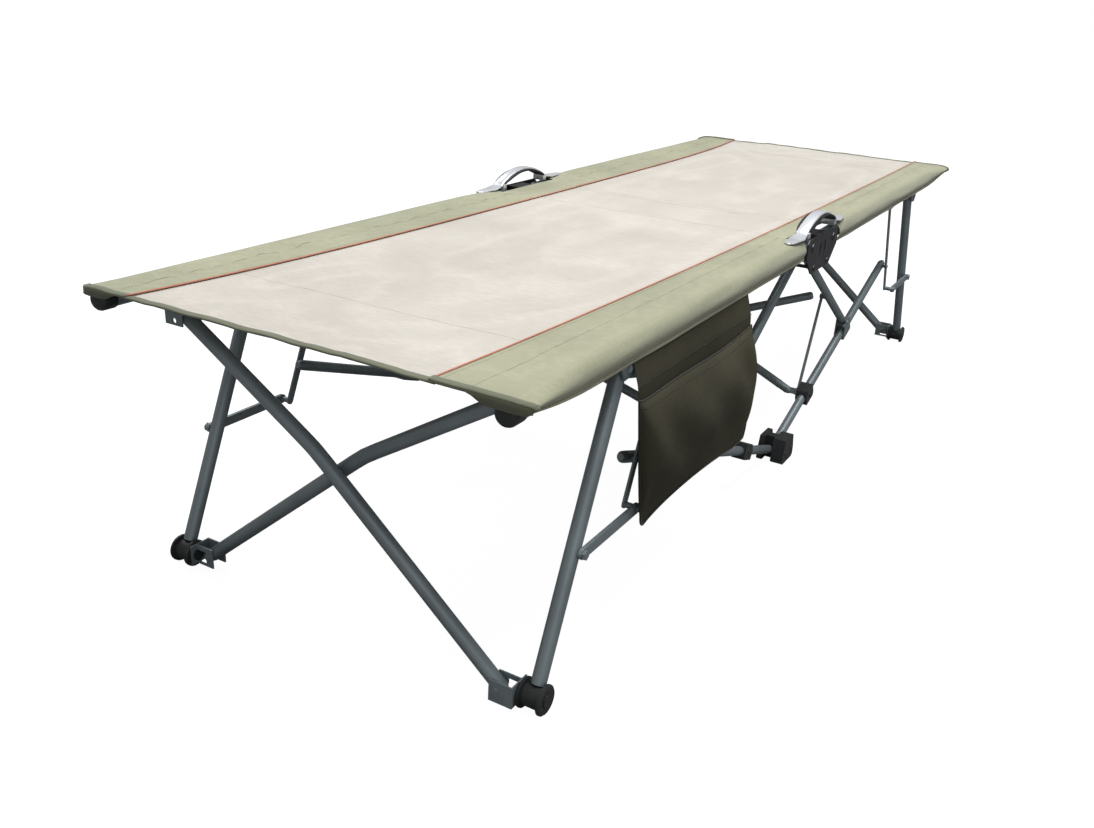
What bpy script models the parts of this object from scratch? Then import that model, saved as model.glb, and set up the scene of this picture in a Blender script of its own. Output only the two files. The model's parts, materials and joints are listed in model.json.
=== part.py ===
"""Folding camp bed: two hinged side frames joined by crossed tubes, with a cloth top.

Axes: X runs along the bed, Y across it, Z up. The floor is z = 0 and the bed
is centred on the origin. All lengths are metres.

Most pieces come four times, once for each quarter of the bed. They are built
once in a quarter frame (u along the bed from the middle, w across it from the
centre line, z up) and then mirrored into place.
"""
import math

import bmesh
import bpy
from mathutils import Matrix, Vector

# Overall sizes
BED_LENGTH = 1.90
BED_WIDTH = 0.627
RAIL_HEIGHT = 0.405          # axis of the side rails above the floor
GAP = 0.0005                 # air between neighbouring layers
SEAT = 0.0003                # air where one piece rests on another
PIN_CLEARANCE = 0.0003       # radial play of a pin in its hole

# Side rails
RAIL_RADIUS = 0.0125
RAIL_ACROSS = 0.292
RAIL_PIN_ALONG = 0.056
RAIL_PIN_RADIUS = 0.004
RAIL_CAP_RADIUS = 0.0135
RAIL_CAP_LENGTH = 0.022
RAIL_OVERHANG = 0.004        # cap beyond the cloth end

# Truss of each side: centre strut and base tube
TRUSS_RADIUS = 0.008
TRUSS_ACROSS = 0.270
STRUT_PIN_ALONG = 0.036
STRUT_PIN_DROP = 0.0375      # below the rail axis
TRUSS_PIN_RADIUS = 0.003
BASE_PIN_ALONG = 0.017
BASE_PIN_HEIGHT = 0.020
BASE_END_ALONG = BED_LENGTH / 2 - 0.3224
BASE_END_HEIGHT = 0.2341
BASE_CAP_RADIUS = 0.0079
BASE_CAP_LENGTH = 0.012
STRUT_FOOT_ALONG = 0.363     # from the base pin, along the bed
STRUT_FOOT_RISE = 0.0205     # pin above the base tube axis
KNUCKLE_ALONG = 0.235        # lock link pin on the strut
SLIDER_ALONG = 0.165         # slider on the base tube

# Flat links
LINK_THICKNESS = 0.003
LOCK_LINK_HALF = 0.0045
LEG_LINK_HALF = 0.0045
STAY_HALF = 0.00675
STAY_THICKNESS = 0.005
LINK_PIN_RADIUS = 0.0025
RIVET_RADIUS = 0.005
RIVET_HEIGHT = 0.0022

# Legs
LEG_RADIUS = 0.0095
LEG_ACROSS = 0.288
LEG_PIN_DROP = 0.0235        # below the rail axis
LEG_PIN_ALONG = BED_LENGTH / 2 - 0.247
LINK_PIN_ALONG = BED_LENGTH / 2 - 0.387
STAY_HEIGHT = 0.180
FOOT_ALONG = BED_LENGTH / 2 - 0.092
FOOT_RADIUS = 0.019
FOOT_BARREL_RADIUS = 0.0145
FOOT_WIDTH = 0.034
FOOT_FLANGE = 0.005
FOOT_ACROSS = 0.287

# Crossed tubes at the ends
CROSS_RADIUS = 0.0095
CROSS_OFFSET = 0.0100        # each tube to one side of the shared plane
CROSS_PIN_ACROSS = 0.246
CROSS_PIN_HEIGHT = 0.022
CROSS_BEND_ACROSS = 0.030
CROSS_LOWER_SLOPE = 0.828
CROSS_UPPER_SLOPE = 0.610
CROSS_TOP_ACROSS = 0.245
CLEVIS_WALL = 0.002
CLEVIS_BELOW = 0.016         # below and above the cross tube's pin
CLEVIS_ABOVE = 0.013
SADDLE_PLAY = 0.0065         # room for the tube to swing out of its saddle

# Crossed tubes at the middle
MID_CROSS_RADIUS = 0.008
MID_CROSS_OFFSET = 0.0088
MID_CROSS_INSET = 0.019      # ends inward of the lock links

# Middle foot
MID_FOOT_HALF = 0.0285
MID_FOOT_HEIGHT = 0.045
MID_FOOT_INNER = 0.252
MID_FOOT_OUTER = 0.301

# Hinge bracket and handle in the middle of each side
BRACKET_PLATE = 0.0025
BRACKET_HALF_TOP = 0.082
BRACKET_HALF_LOW = 0.048
BRACKET_DROP = 0.046         # plates below the rail axis
BRACKET_RISE = 0.0155        # plates above the rail axis
BRACKET_CORE_HALF = 0.024
HANDLE_HALF = 0.145
HANDLE_FOOT = 0.078
HANDLE_POST_FROM = 0.068     # posts that stand on the bracket's outer plate
HANDLE_POST_TO = 0.0745
HANDLE_RISE = 0.026
HANDLE_LIFT = 0.0024         # tails clear of the cloth
HANDLE_THICKNESS = 0.008
HANDLE_WIDTH = 0.030

# Cloth
CLOTH_THICKNESS = 0.002
CLOTH_SAG = 0.006
CLOTH_LAP = 0.0020           # cloth clear of the rail
HEM_DROP = 0.020             # hem below the rail axis
HEM_FLARE = 0.0005           # hem out from the sleeve
NOTCH_ALONG = 0.092
NOTCH_ACROSS = 0.250
CLOTH_ROWS = (0.75, 0.61, 0.47, 0.33, 0.20, 0.09, 0.012, 0.0)   # lines across it, from the end
POCKET_FROM = 0.260 - BED_LENGTH / 2
POCKET_TO = 0.650 - BED_LENGTH / 2
POCKET_TOP = 0.388
POCKET_DEPTH = 0.235
POCKET_BULGE = 0.034
POCKET_WALL = 0.002

NEAR, FAR = -1, 1
LEFT, RIGHT = -1, 1
SIDES = ((NEAR, "near"), (FAR, "far"))
ENDS = ((LEFT, "left"), (RIGHT, "right"))


# Materials
def material(name, colour, roughness, metallic=0.0):
    """One named surface with a plain shader."""
    made = bpy.data.materials.new(name)
    made.use_nodes = True
    shader = made.node_tree.nodes["Principled BSDF"]
    shader.inputs["Base Color"].default_value = (*colour, 1.0)
    shader.inputs["Roughness"].default_value = roughness
    shader.inputs["Metallic"].default_value = metallic
    return made


# Geometry
def frame_along(direction):
    """Two unit vectors square to a direction."""
    direction = direction.normalized()
    helper = Vector((0.0, 1.0, 0.0))
    if abs(direction.dot(helper)) > 0.9:
        helper = Vector((0.0, 0.0, 1.0))
    first = direction.cross(helper).normalized()
    return first, direction.cross(first).normalized()


def mesh_from(bm, name):
    """Finish a bmesh as a mesh with faces turned outward."""
    bmesh.ops.recalc_face_normals(bm, faces=bm.faces)
    mesh = bpy.data.meshes.new(name)
    bm.to_mesh(mesh)
    bm.free()
    return mesh


def sweep(points, radii, sides=14, squash=1.0):
    """Round bar through a list of points, with a radius at every point."""
    points = [Vector(p) for p in points]
    bm = bmesh.new()
    rings = []
    first, second = frame_along(points[1] - points[0])
    for i, centre in enumerate(points):
        before = points[i] - points[max(i - 1, 0)]
        after = points[min(i + 1, len(points) - 1)] - points[i]
        along = (before.normalized() + after.normalized()).normalized()
        first = (first - along * first.dot(along)).normalized()
        second = along.cross(first)
        stretch = 1.0
        if 0 < i < len(points) - 1:
            stretch = 1.0 / max(along.dot(after.normalized()), 0.5)
        ring = []
        for k in range(sides):
            angle = 2 * math.pi * (k + 0.5) / sides
            offset = first * math.cos(angle) + second * (math.sin(angle) * squash)
            turn = (after.normalized() - before.normalized())
            if stretch > 1.0 and turn.length > 1e-6:
                turn.normalize()
                offset += turn * offset.dot(turn) * (stretch - 1.0)
            ring.append(bm.verts.new(centre + offset * radii[i]))
        rings.append(ring)
    for lower, upper in zip(rings, rings[1:]):
        for k in range(sides):
            n = (k + 1) % sides
            bm.faces.new((lower[k], lower[n], upper[n], upper[k]))
    bm.faces.new(rings[0])
    bm.faces.new(rings[-1])
    return mesh_from(bm, "bar")


def rod(start, end, radius, sides=12):
    """Straight round bar."""
    return sweep((start, end), (radius, radius), sides)


def plate(outline, low, high):
    """Flat outline in the u-z plane given thickness across the bed."""
    bm = bmesh.new()
    front = [bm.verts.new((u, low, z)) for u, z in outline]
    back = [bm.verts.new((u, high, z)) for u, z in outline]
    bm.faces.new(front)
    bm.faces.new(back)
    for k in range(len(outline)):
        n = (k + 1) % len(outline)
        bm.faces.new((front[k], front[n], back[n], back[k]))
    return mesh_from(bm, "plate")


def box(u0, u1, w0, w1, z0, z1):
    """Rectangular block."""
    return plate(((u0, z0), (u1, z0), (u1, z1), (u0, z1)), w0, w1)


def slot_outline(start, end, half, steps=5):
    """Outline of a flat link: two half rounds joined by straight edges."""
    start, end = Vector(start), Vector(end)
    heading = math.atan2((end - start).y, (end - start).x)
    outline = []
    for centre, turn in ((end, heading - math.pi / 2), (start, heading + math.pi / 2)):
        for k in range(steps + 1):
            angle = turn + math.pi * k / steps
            outline.append((centre.x + half * math.cos(angle), centre.y + half * math.sin(angle)))
    return outline


def shape(base, joins=(), cuts=()):
    """Weld meshes onto a base mesh and cut others out of it."""
    holder = bpy.data.objects.new("base", base)
    bpy.context.scene.collection.objects.link(holder)
    tools = []
    for operation, meshes in (("UNION", joins), ("DIFFERENCE", cuts)):
        for mesh in meshes:
            tool = bpy.data.objects.new("tool", mesh)
            bpy.context.scene.collection.objects.link(tool)
            tools.append(tool)
            step = holder.modifiers.new(operation.lower(), "BOOLEAN")
            step.operation = operation
            step.solver = "EXACT"
            step.object = tool
    bpy.context.view_layer.update()
    seen = holder.evaluated_get(bpy.context.evaluated_depsgraph_get())
    result = bpy.data.meshes.new_from_object(seen)
    for tool in tools + [holder]:
        bpy.data.objects.remove(tool, do_unlink=True)
    return result


def place(name, mesh, surface, pivot, mirror_x=1, mirror_y=1, parent=None):
    """Put a mesh into the scene, mirrored, with its origin on the pivot."""
    copy = mesh.copy()
    copy.name = name
    pivot = Vector((pivot[0] * mirror_x, pivot[1] * mirror_y, pivot[2]))
    flip = Matrix.Diagonal((mirror_x, mirror_y, 1.0, 1.0))
    copy.transform(Matrix.Translation(-pivot) @ flip)
    if mirror_x * mirror_y < 0:
        copy.flip_normals()
    copy.materials.clear()
    copy.materials.append(surface)
    thing = bpy.data.objects.new(name, copy)
    thing.location = pivot
    bpy.context.scene.collection.objects.link(thing)
    if parent is not None:
        bpy.context.view_layer.update()
        thing.parent = parent
        thing.matrix_parent_inverse = parent.matrix_world.inverted()
    return thing


# Shared points
RAIL_PIN = Vector((RAIL_PIN_ALONG, RAIL_HEIGHT))
STRUT_PIN = Vector((STRUT_PIN_ALONG, RAIL_HEIGHT - STRUT_PIN_DROP))
BASE_PIN = Vector((BASE_PIN_ALONG, BASE_PIN_HEIGHT))
BASE_END = Vector((BASE_END_ALONG, BASE_END_HEIGHT))
BASE_DIR = (BASE_END - BASE_PIN).normalized()
BASE_UP = Vector((-BASE_DIR.y, BASE_DIR.x))
STRUT_FOOT = BASE_PIN + BASE_DIR * (STRUT_FOOT_ALONG / BASE_DIR.x) + BASE_UP * STRUT_FOOT_RISE
STRUT_DIR = (STRUT_FOOT - STRUT_PIN).normalized()
KNUCKLE = STRUT_PIN + STRUT_DIR * ((KNUCKLE_ALONG - STRUT_PIN.x) / STRUT_DIR.x)
SLIDER = BASE_PIN + BASE_DIR * ((SLIDER_ALONG - BASE_PIN.x) / BASE_DIR.x)
LOCK_DIR = (KNUCKLE - SLIDER).normalized()
LEG_PIN = Vector((LEG_PIN_ALONG, RAIL_HEIGHT - LEG_PIN_DROP))
LINK_PIN = Vector((LINK_PIN_ALONG, LEG_PIN.y))
FOOT_AXLE = Vector((FOOT_ALONG, FOOT_RADIUS))
LEG_DIR = (FOOT_AXLE - LEG_PIN).normalized()
STAY_NUT = LEG_PIN + LEG_DIR * ((LEG_PIN.y - STAY_HEIGHT) / -LEG_DIR.y)
STAY_PIN = LINK_PIN + (STAY_NUT - LEG_PIN)

# Layers across the bed
TRUSS_IN = TRUSS_ACROSS - TRUSS_RADIUS
TRUSS_OUT = TRUSS_ACROSS + TRUSS_RADIUS
BRACKET_IN = TRUSS_IN - GAP - BRACKET_PLATE
BRACKET_OUT = RAIL_ACROSS + RAIL_RADIUS + GAP
LOCK_OUT = TRUSS_IN - 0.004
LOCK_IN = LOCK_OUT - LINK_THICKNESS
MID_CROSS_ACROSS = LOCK_IN - MID_CROSS_INSET
LINK_IN = TRUSS_OUT + 0.0042
LINK_OUT = LINK_IN + LINK_THICKNESS
EAR_IN = LINK_OUT + GAP
LEG_OUT = LEG_ACROSS + LEG_RADIUS
LEG_EAR_IN = LEG_OUT + GAP
STAY_IN = LEG_OUT + GAP
STAY_OUT = STAY_IN + STAY_THICKNESS


def at(point, across):
    """Point of the u-z plane set at a distance across the bed."""
    return (point.x, across, point.y)


def dome(point, across, outward, radius=RIVET_RADIUS, height=RIVET_HEIGHT):
    """Rivet head standing on a face that looks along the bed's width."""
    tip = across + outward * height
    root = across - outward * 0.0004
    middle = across + outward * height * 0.55
    stations = (at(point, root), at(point, middle), at(point, tip))
    return sweep(stations, (radius, radius * 0.92, radius * 0.5), 8)


# Pieces
def hinge_bracket():
    """Pressed bracket that carries both rails and both centre struts."""
    top = RAIL_HEIGHT + BRACKET_RISE
    low = RAIL_HEIGHT - BRACKET_DROP
    knee = RAIL_HEIGHT - BRACKET_DROP * 0.35
    outline = (
        (-BRACKET_HALF_TOP, knee), (-BRACKET_HALF_LOW, low), (BRACKET_HALF_LOW, low),
        (BRACKET_HALF_TOP, knee), (BRACKET_HALF_TOP, top - 0.006),
        (BRACKET_HALF_TOP - 0.006, top), (-BRACKET_HALF_TOP + 0.006, top),
        (-BRACKET_HALF_TOP, top - 0.006),
    )
    inner = plate(outline, BRACKET_IN, BRACKET_IN + BRACKET_PLATE)
    outer = plate(outline, BRACKET_OUT, BRACKET_OUT + BRACKET_PLATE)
    core = box(-BRACKET_CORE_HALF, BRACKET_CORE_HALF, BRACKET_IN + 0.001, BRACKET_OUT + 0.001,
               STRUT_PIN.y + 0.006, top - 0.001)
    joins = [outer, core]
    cuts = []
    outside = BRACKET_OUT + BRACKET_PLATE
    for end in (LEFT, RIGHT):
        rail = Vector((end * RAIL_PIN.x, RAIL_PIN.y))
        strut = Vector((end * STRUT_PIN.x, STRUT_PIN.y))
        joins.append(rod(at(rail, BRACKET_IN + 0.001), at(rail, BRACKET_OUT + 0.001), RAIL_PIN_RADIUS))
        joins.append(rod(at(strut, BRACKET_IN + 0.001), at(strut, BRACKET_OUT + 0.001), TRUSS_PIN_RADIUS))
        joins.append(dome(rail, outside, 1, 0.0075, 0.003))
        joins.append(dome(strut, outside, 1, 0.0055, 0.0024))
        joins.append(dome(rail, BRACKET_IN, -1, 0.0075, 0.003))
        joins.append(dome(strut, BRACKET_IN, -1, 0.0055, 0.0024))
        slot_from = (end * 0.012, low + 0.026)
        slot_to = (end * 0.012, low + 0.044)
        cuts.append(plate(slot_outline(slot_from, slot_to, 0.003, 3), BRACKET_OUT + 0.0012,
                          outside + 0.004))
    return shape(inner, joins, cuts)


def handle_arch(x):
    """Height of the handle's underside above its flat tails."""
    reach = min(abs(x) / HANDLE_FOOT, 1.0)
    return HANDLE_RISE * math.cos(reach * math.pi / 2) ** 0.8


def carry_handle():
    """Arched carrying handle with flat tails that lie along the rails."""
    base = RAIL_HEIGHT + BRACKET_RISE + SEAT
    middle = RAIL_ACROSS
    steps = 26
    bm = bmesh.new()
    rings = []
    for i in range(steps + 1):
        x = -HANDLE_HALF + 2 * HANDLE_HALF * i / steps
        reach = abs(x) / HANDLE_FOOT
        taper = 1.0 - 0.55 * max(0.0, abs(x) - HANDLE_FOOT) / (HANDLE_HALF - HANDLE_FOOT)
        half = HANDLE_WIDTH / 2 * taper
        tall = HANDLE_THICKNESS * (0.45 + 0.55 * taper) * (1.0 if reach < 1 else 0.75)
        under = base + HANDLE_LIFT + handle_arch(x)
        section = (
            (-half, under), (half, under), (half, under + tall * 0.55),
            (half * 0.62, under + tall), (-half * 0.62, under + tall), (-half, under + tall * 0.55),
        )
        rings.append([bm.verts.new((x, middle + w, z)) for w, z in section])
    for lower, upper in zip(rings, rings[1:]):
        for k in range(6):
            n = (k + 1) % 6
            bm.faces.new((lower[k], lower[n], upper[n], upper[k]))
    bm.faces.new(rings[0])
    bm.faces.new(rings[-1])
    arch = mesh_from(bm, "arch")
    post_top = base + HANDLE_LIFT + handle_arch(HANDLE_POST_FROM) + 0.001
    posts = []
    for end in (LEFT, RIGHT):
        x0, x1 = sorted((end * HANDLE_POST_FROM, end * HANDLE_POST_TO))
        posts.append(box(x0, x1, middle - HANDLE_WIDTH / 3, BRACKET_OUT + BRACKET_PLATE - 0.001, base,
                         post_top))
    return shape(arch, posts)


def side_rail(cross_shift):
    """Side rail with its pivots for the leg and the leg link and its saddle."""
    far_end = BED_LENGTH / 2 + RAIL_OVERHANG
    cap_from = far_end - RAIL_CAP_LENGTH
    stations = [
        (RAIL_PIN.x - RAIL_RADIUS, 0.55), (RAIL_PIN.x - RAIL_RADIUS * 0.75, 0.85),
        (RAIL_PIN.x - RAIL_RADIUS * 0.3, 1.0), (cap_from, 1.0),
    ]
    points = [(u, RAIL_ACROSS, RAIL_HEIGHT) for u, _ in stations]
    tube = sweep(points, [RAIL_RADIUS * size for _, size in stations], 16)
    cap = sweep([(cap_from - 0.001, RAIL_ACROSS, RAIL_HEIGHT), (cap_from, RAIL_ACROSS, RAIL_HEIGHT),
                 (far_end - 0.006, RAIL_ACROSS, RAIL_HEIGHT), (far_end, RAIL_ACROSS, RAIL_HEIGHT)],
                [RAIL_RADIUS, RAIL_CAP_RADIUS, RAIL_CAP_RADIUS, RAIL_RADIUS * 0.6], 16)
    under = RAIL_HEIGHT - RAIL_RADIUS + 0.004
    link_ear = plate(((LINK_PIN.x - 0.018, under), (LINK_PIN.x - 0.008, LINK_PIN.y - 0.008),
                      (LINK_PIN.x + 0.008, LINK_PIN.y - 0.008), (LINK_PIN.x + 0.018, under)),
                     EAR_IN, EAR_IN + LINK_THICKNESS)
    leg_ear = plate(((LEG_PIN.x - 0.030, under + 0.001), (LEG_PIN.x - 0.012, LEG_PIN.y - 0.010),
                     (LEG_PIN.x + 0.010, LEG_PIN.y - 0.012), (LEG_PIN.x + 0.026, under + 0.001)),
                    LEG_EAR_IN, LEG_EAR_IN + LINK_THICKNESS)
    link_pin = rod(at(LINK_PIN, LINK_IN - 0.001), at(LINK_PIN, EAR_IN + 0.001), LINK_PIN_RADIUS, 10)
    leg_pin = rod(at(LEG_PIN, LEG_ACROSS - LEG_RADIUS - 0.001), at(LEG_PIN, LEG_EAR_IN + 0.001),
                  TRUSS_PIN_RADIUS, 10)
    saddle_at = FOOT_ALONG + cross_shift
    wall = CLEVIS_WALL
    reach = CROSS_RADIUS + 0.0008
    roof = RAIL_HEIGHT - RAIL_RADIUS - 0.001
    inside = CROSS_TOP_ACROSS - 0.014
    outside = TRUSS_IN - 0.001
    walls = (saddle_at - reach - SADDLE_PLAY - wall, saddle_at + reach)
    arm = box(walls[0], walls[1] + wall, CROSS_TOP_ACROSS + 0.006, RAIL_ACROSS, roof - wall,
              roof + 0.0045)
    cheeks = [box(u, u + wall, inside, outside, roof - 0.026, roof) for u in walls]
    joins = [cap, link_ear, leg_ear, link_pin, leg_pin, arm] + cheeks
    joins.append(dome(LINK_PIN, EAR_IN + LINK_THICKNESS, 1))
    joins.append(dome(LEG_PIN, LEG_EAR_IN + LINK_THICKNESS, 1, 0.0065, 0.0028))
    bore = rod(at(RAIL_PIN, RAIL_ACROSS - 0.03), at(RAIL_PIN, RAIL_ACROSS + 0.03),
               RAIL_PIN_RADIUS + PIN_CLEARANCE)
    window = rod((saddle_at - 0.03, CROSS_TOP_ACROSS, roof - 0.020),
                 (saddle_at + 0.03, CROSS_TOP_ACROSS, roof - 0.020), 0.0035, 10)
    return shape(tube, joins, [bore, window])


def centre_strut():
    """Diagonal strut from the bracket down to the base tube."""
    back = STRUT_PIN - STRUT_DIR * 0.0065
    front = STRUT_FOOT + STRUT_DIR * 0.0065
    points = [back, STRUT_PIN, STRUT_FOOT, front]
    sizes = [0.62, 1.0, 1.0, 0.62]
    tube = sweep([at(p, TRUSS_ACROSS) for p in points], [TRUSS_RADIUS * s for s in sizes], 14)
    boss = rod(at(KNUCKLE, LOCK_OUT + 0.0003), at(KNUCKLE, TRUSS_ACROSS), 0.005, 12)
    pin = rod(at(KNUCKLE, LOCK_IN - 0.001), at(KNUCKLE, TRUSS_ACROSS), LINK_PIN_RADIUS, 10)
    head = rod(at(KNUCKLE, LOCK_IN - 0.0022), at(KNUCKLE, LOCK_IN - 0.0004), 0.0045, 12)
    bore = rod(at(STRUT_PIN, TRUSS_IN - 0.01), at(STRUT_PIN, TRUSS_OUT + 0.01),
               TRUSS_PIN_RADIUS + PIN_CLEARANCE, 12)
    return shape(tube, [boss, pin, head], [bore])


def base_tube():
    """Low tube from the middle foot up to the leg link, with the strut's seat."""
    points = [BASE_PIN - BASE_DIR * 0.0065, BASE_PIN, BASE_END, BASE_END + BASE_DIR * 0.010,
              BASE_END + BASE_DIR * BASE_CAP_LENGTH * 1.4]
    sizes = [0.62, 1.0, 1.0, 0.98, 0.6]
    tube = sweep([at(p, TRUSS_ACROSS) for p in points], [TRUSS_RADIUS * s for s in sizes], 14)
    seat = STRUT_FOOT - BASE_UP * STRUT_FOOT_RISE
    outline = (seat - BASE_DIR * 0.022 - BASE_UP * 0.004, seat + BASE_DIR * 0.022 - BASE_UP * 0.004,
               seat + BASE_DIR * 0.012 + BASE_UP * (STRUT_FOOT_RISE + 0.009),
               seat - BASE_DIR * 0.010 + BASE_UP * (STRUT_FOOT_RISE + 0.009))
    flat = [(p.x, p.y) for p in outline]
    low = [(p.x, p.y) for p in (seat - BASE_DIR * 0.022 - BASE_UP * 0.0095,
                                seat + BASE_DIR * 0.022 - BASE_UP * 0.0095,
                                seat + BASE_DIR * 0.022 - BASE_UP * 0.003,
                                seat - BASE_DIR * 0.022 - BASE_UP * 0.003)]
    inner_ear = plate(flat, TRUSS_IN - GAP - 0.002, TRUSS_IN - GAP)
    outer_ear = plate(flat, TRUSS_OUT + GAP, TRUSS_OUT + GAP + 0.002)
    floor = plate(low, TRUSS_IN - GAP - 0.002, TRUSS_OUT + GAP + 0.002)
    joins = [floor, inner_ear, outer_ear]
    for across, outward in ((TRUSS_IN - GAP - 0.002, -1), (TRUSS_OUT + GAP + 0.002, 1)):
        joins.append(dome(STRUT_FOOT, across, outward, 0.0045, 0.0018))
    bore = rod(at(BASE_PIN, TRUSS_IN - 0.01), at(BASE_PIN, TRUSS_OUT + 0.01),
               TRUSS_PIN_RADIUS + PIN_CLEARANCE, 12)
    return shape(tube, joins, [bore])


def lock_link(shift):
    """Flat link between strut and slider, with a tongue for the middle cross tube."""
    side = Vector((LOCK_DIR.y, -LOCK_DIR.x))

    def block(from_side, to_side, half, low, high):
        """Block square to the link, centred on the slider pin."""
        corners = (
            SLIDER + side * from_side - LOCK_DIR * half, SLIDER + side * to_side - LOCK_DIR * half,
            SLIDER + side * to_side + LOCK_DIR * half, SLIDER + side * from_side + LOCK_DIR * half,
        )
        return plate([(p.x, p.y) for p in corners], low, high)

    strip = plate(slot_outline(SLIDER, KNUCKLE, LOCK_LINK_HALF + 0.001, 5), LOCK_IN, LOCK_OUT)
    pad = block(-0.0080, shift + 0.0046, 0.0072, LOCK_IN - 0.0012, LOCK_OUT - 0.0008)
    tongue = block(shift - 0.0022, shift + 0.0022, 0.0060, MID_CROSS_ACROSS - 0.0060, LOCK_IN + 0.0004)
    pin_half = MID_CROSS_RADIUS - 0.0015
    start = SLIDER + side * (shift - pin_half)
    end = SLIDER + side * (shift + pin_half)
    pin = rod(at(start, MID_CROSS_ACROSS), at(end, MID_CROSS_ACROSS), LINK_PIN_RADIUS, 10)
    eye = rod(at(KNUCKLE, LOCK_IN - 0.01), at(KNUCKLE, LOCK_OUT + 0.01),
              LINK_PIN_RADIUS + PIN_CLEARANCE, 10)
    return shape(strip, [pad, tongue, pin], [eye])


def slider_block():
    """Plastic block that slides along the base tube."""
    half = 0.0135
    near_w, far_w = LOCK_OUT + GAP, TRUSS_OUT + 0.0035
    outline = []
    for along, up in ((-0.017, -half), (0.017, -half), (0.020, -half * 0.4), (0.017, half),
                      (-0.012, half), (-0.020, half * 0.2)):
        p = SLIDER + BASE_DIR * along + BASE_UP * up
        outline.append((p.x, p.y))
    body = plate(outline, near_w, far_w)
    bore = rod(at(SLIDER - BASE_DIR * 0.04, TRUSS_ACROSS), at(SLIDER + BASE_DIR * 0.04, TRUSS_ACROSS),
               TRUSS_RADIUS + PIN_CLEARANCE, 16)
    return shape(body, [dome(SLIDER, far_w, 1, 0.0045, 0.0018)], [bore])


def leg_link():
    """Flat link beside the leg; the base tube ends against it."""
    strip = plate(slot_outline(LINK_PIN, STAY_PIN, LEG_LINK_HALF + 0.001, 5), LINK_IN, LINK_OUT)
    meets = LINK_PIN + (STAY_PIN - LINK_PIN) * ((LINK_PIN.y - BASE_END.y) / (LINK_PIN.y - STAY_PIN.y))
    rivet = dome(meets, LINK_OUT, 1)
    stub = rod(at(meets, TRUSS_OUT + GAP), at(meets, LINK_IN + 0.001), 0.0035, 10)
    post = rod(at(STAY_PIN, LINK_OUT - 0.001), at(STAY_PIN, STAY_IN - GAP), 0.0042, 12)
    pin = rod(at(STAY_PIN, LINK_OUT), at(STAY_PIN, STAY_OUT + 0.001), LINK_PIN_RADIUS, 10)
    head = rod(at(STAY_PIN, STAY_OUT + 0.0004), at(STAY_PIN, STAY_OUT + 0.0028), 0.0055, 6)
    eye = rod(at(LINK_PIN, LINK_IN - 0.01), at(LINK_PIN, LINK_OUT + 0.01),
              LINK_PIN_RADIUS + PIN_CLEARANCE, 10)
    return shape(strip, [rivet, stub, post, pin, head], [eye])


def leg_stay():
    """Flattened stay that holds the leg parallel to its link."""
    bar = plate(slot_outline(STAY_PIN, STAY_NUT, STAY_HALF, 5), STAY_IN, STAY_OUT)
    eyes = [rod(at(p, STAY_IN - 0.01), at(p, STAY_OUT + 0.01), LINK_PIN_RADIUS + PIN_CLEARANCE, 10)
            for p in (STAY_PIN, STAY_NUT)]
    return shape(bar, (), eyes)


def corner_leg():
    """Corner leg tube with the bolt that holds the stay."""
    top = LEG_PIN - LEG_DIR * 0.008
    low = FOOT_AXLE - LEG_DIR * (FOOT_BARREL_RADIUS * 1.013 + GAP)
    points = [top, LEG_PIN - LEG_DIR * 0.003, low]
    tube = sweep([at(p, LEG_ACROSS) for p in points],
                 [LEG_RADIUS * 0.72, LEG_RADIUS, LEG_RADIUS], 14)
    pin = rod(at(STAY_NUT, LEG_ACROSS), at(STAY_NUT, STAY_OUT + 0.001), LINK_PIN_RADIUS, 10)
    nut = rod(at(STAY_NUT, STAY_OUT + 0.0004), at(STAY_NUT, STAY_OUT + 0.0040), 0.0065, 6)
    bore = rod(at(LEG_PIN, LEG_ACROSS - 0.03), at(LEG_PIN, LEG_ACROSS + 0.03),
               TRUSS_PIN_RADIUS + PIN_CLEARANCE, 12)
    return shape(tube, [pin, nut], [bore])


def corner_foot():
    """Spool-shaped foot: a barrel between two round flanges."""
    low = FOOT_ACROSS - FOOT_WIDTH / 2
    high = FOOT_ACROSS + FOOT_WIDTH / 2
    chamfer = 0.002
    profile = (
        (low, FOOT_RADIUS - chamfer), (low + chamfer, FOOT_RADIUS),
        (low + FOOT_FLANGE, FOOT_RADIUS), (low + FOOT_FLANGE + 0.001, FOOT_BARREL_RADIUS),
        (high - FOOT_FLANGE - 0.001, FOOT_BARREL_RADIUS), (high - FOOT_FLANGE, FOOT_RADIUS),
        (high - chamfer, FOOT_RADIUS), (high, FOOT_RADIUS - chamfer),
    )
    flats = 20
    round_up = 1.0 / math.cos(math.pi / flats)
    spool = sweep([at(FOOT_AXLE, w) for w, _ in profile], [r * round_up for _, r in profile], flats)
    rotate = [at(FOOT_AXLE, low + 0.001), at(FOOT_AXLE, low - CLEVIS_WALL - 2 * GAP - 0.001)]
    stub = rod(*rotate, 0.006, 14)
    head = rod(at(FOOT_AXLE, low - CLEVIS_WALL - 2 * GAP), at(FOOT_AXLE, low - CLEVIS_WALL - 0.0025),
               0.0085, 14)
    hub = rod(at(FOOT_AXLE, high - 0.001), at(FOOT_AXLE, high + 0.0015), 0.009, 14)
    return shape(spool, [stub, head, hub])


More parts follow.
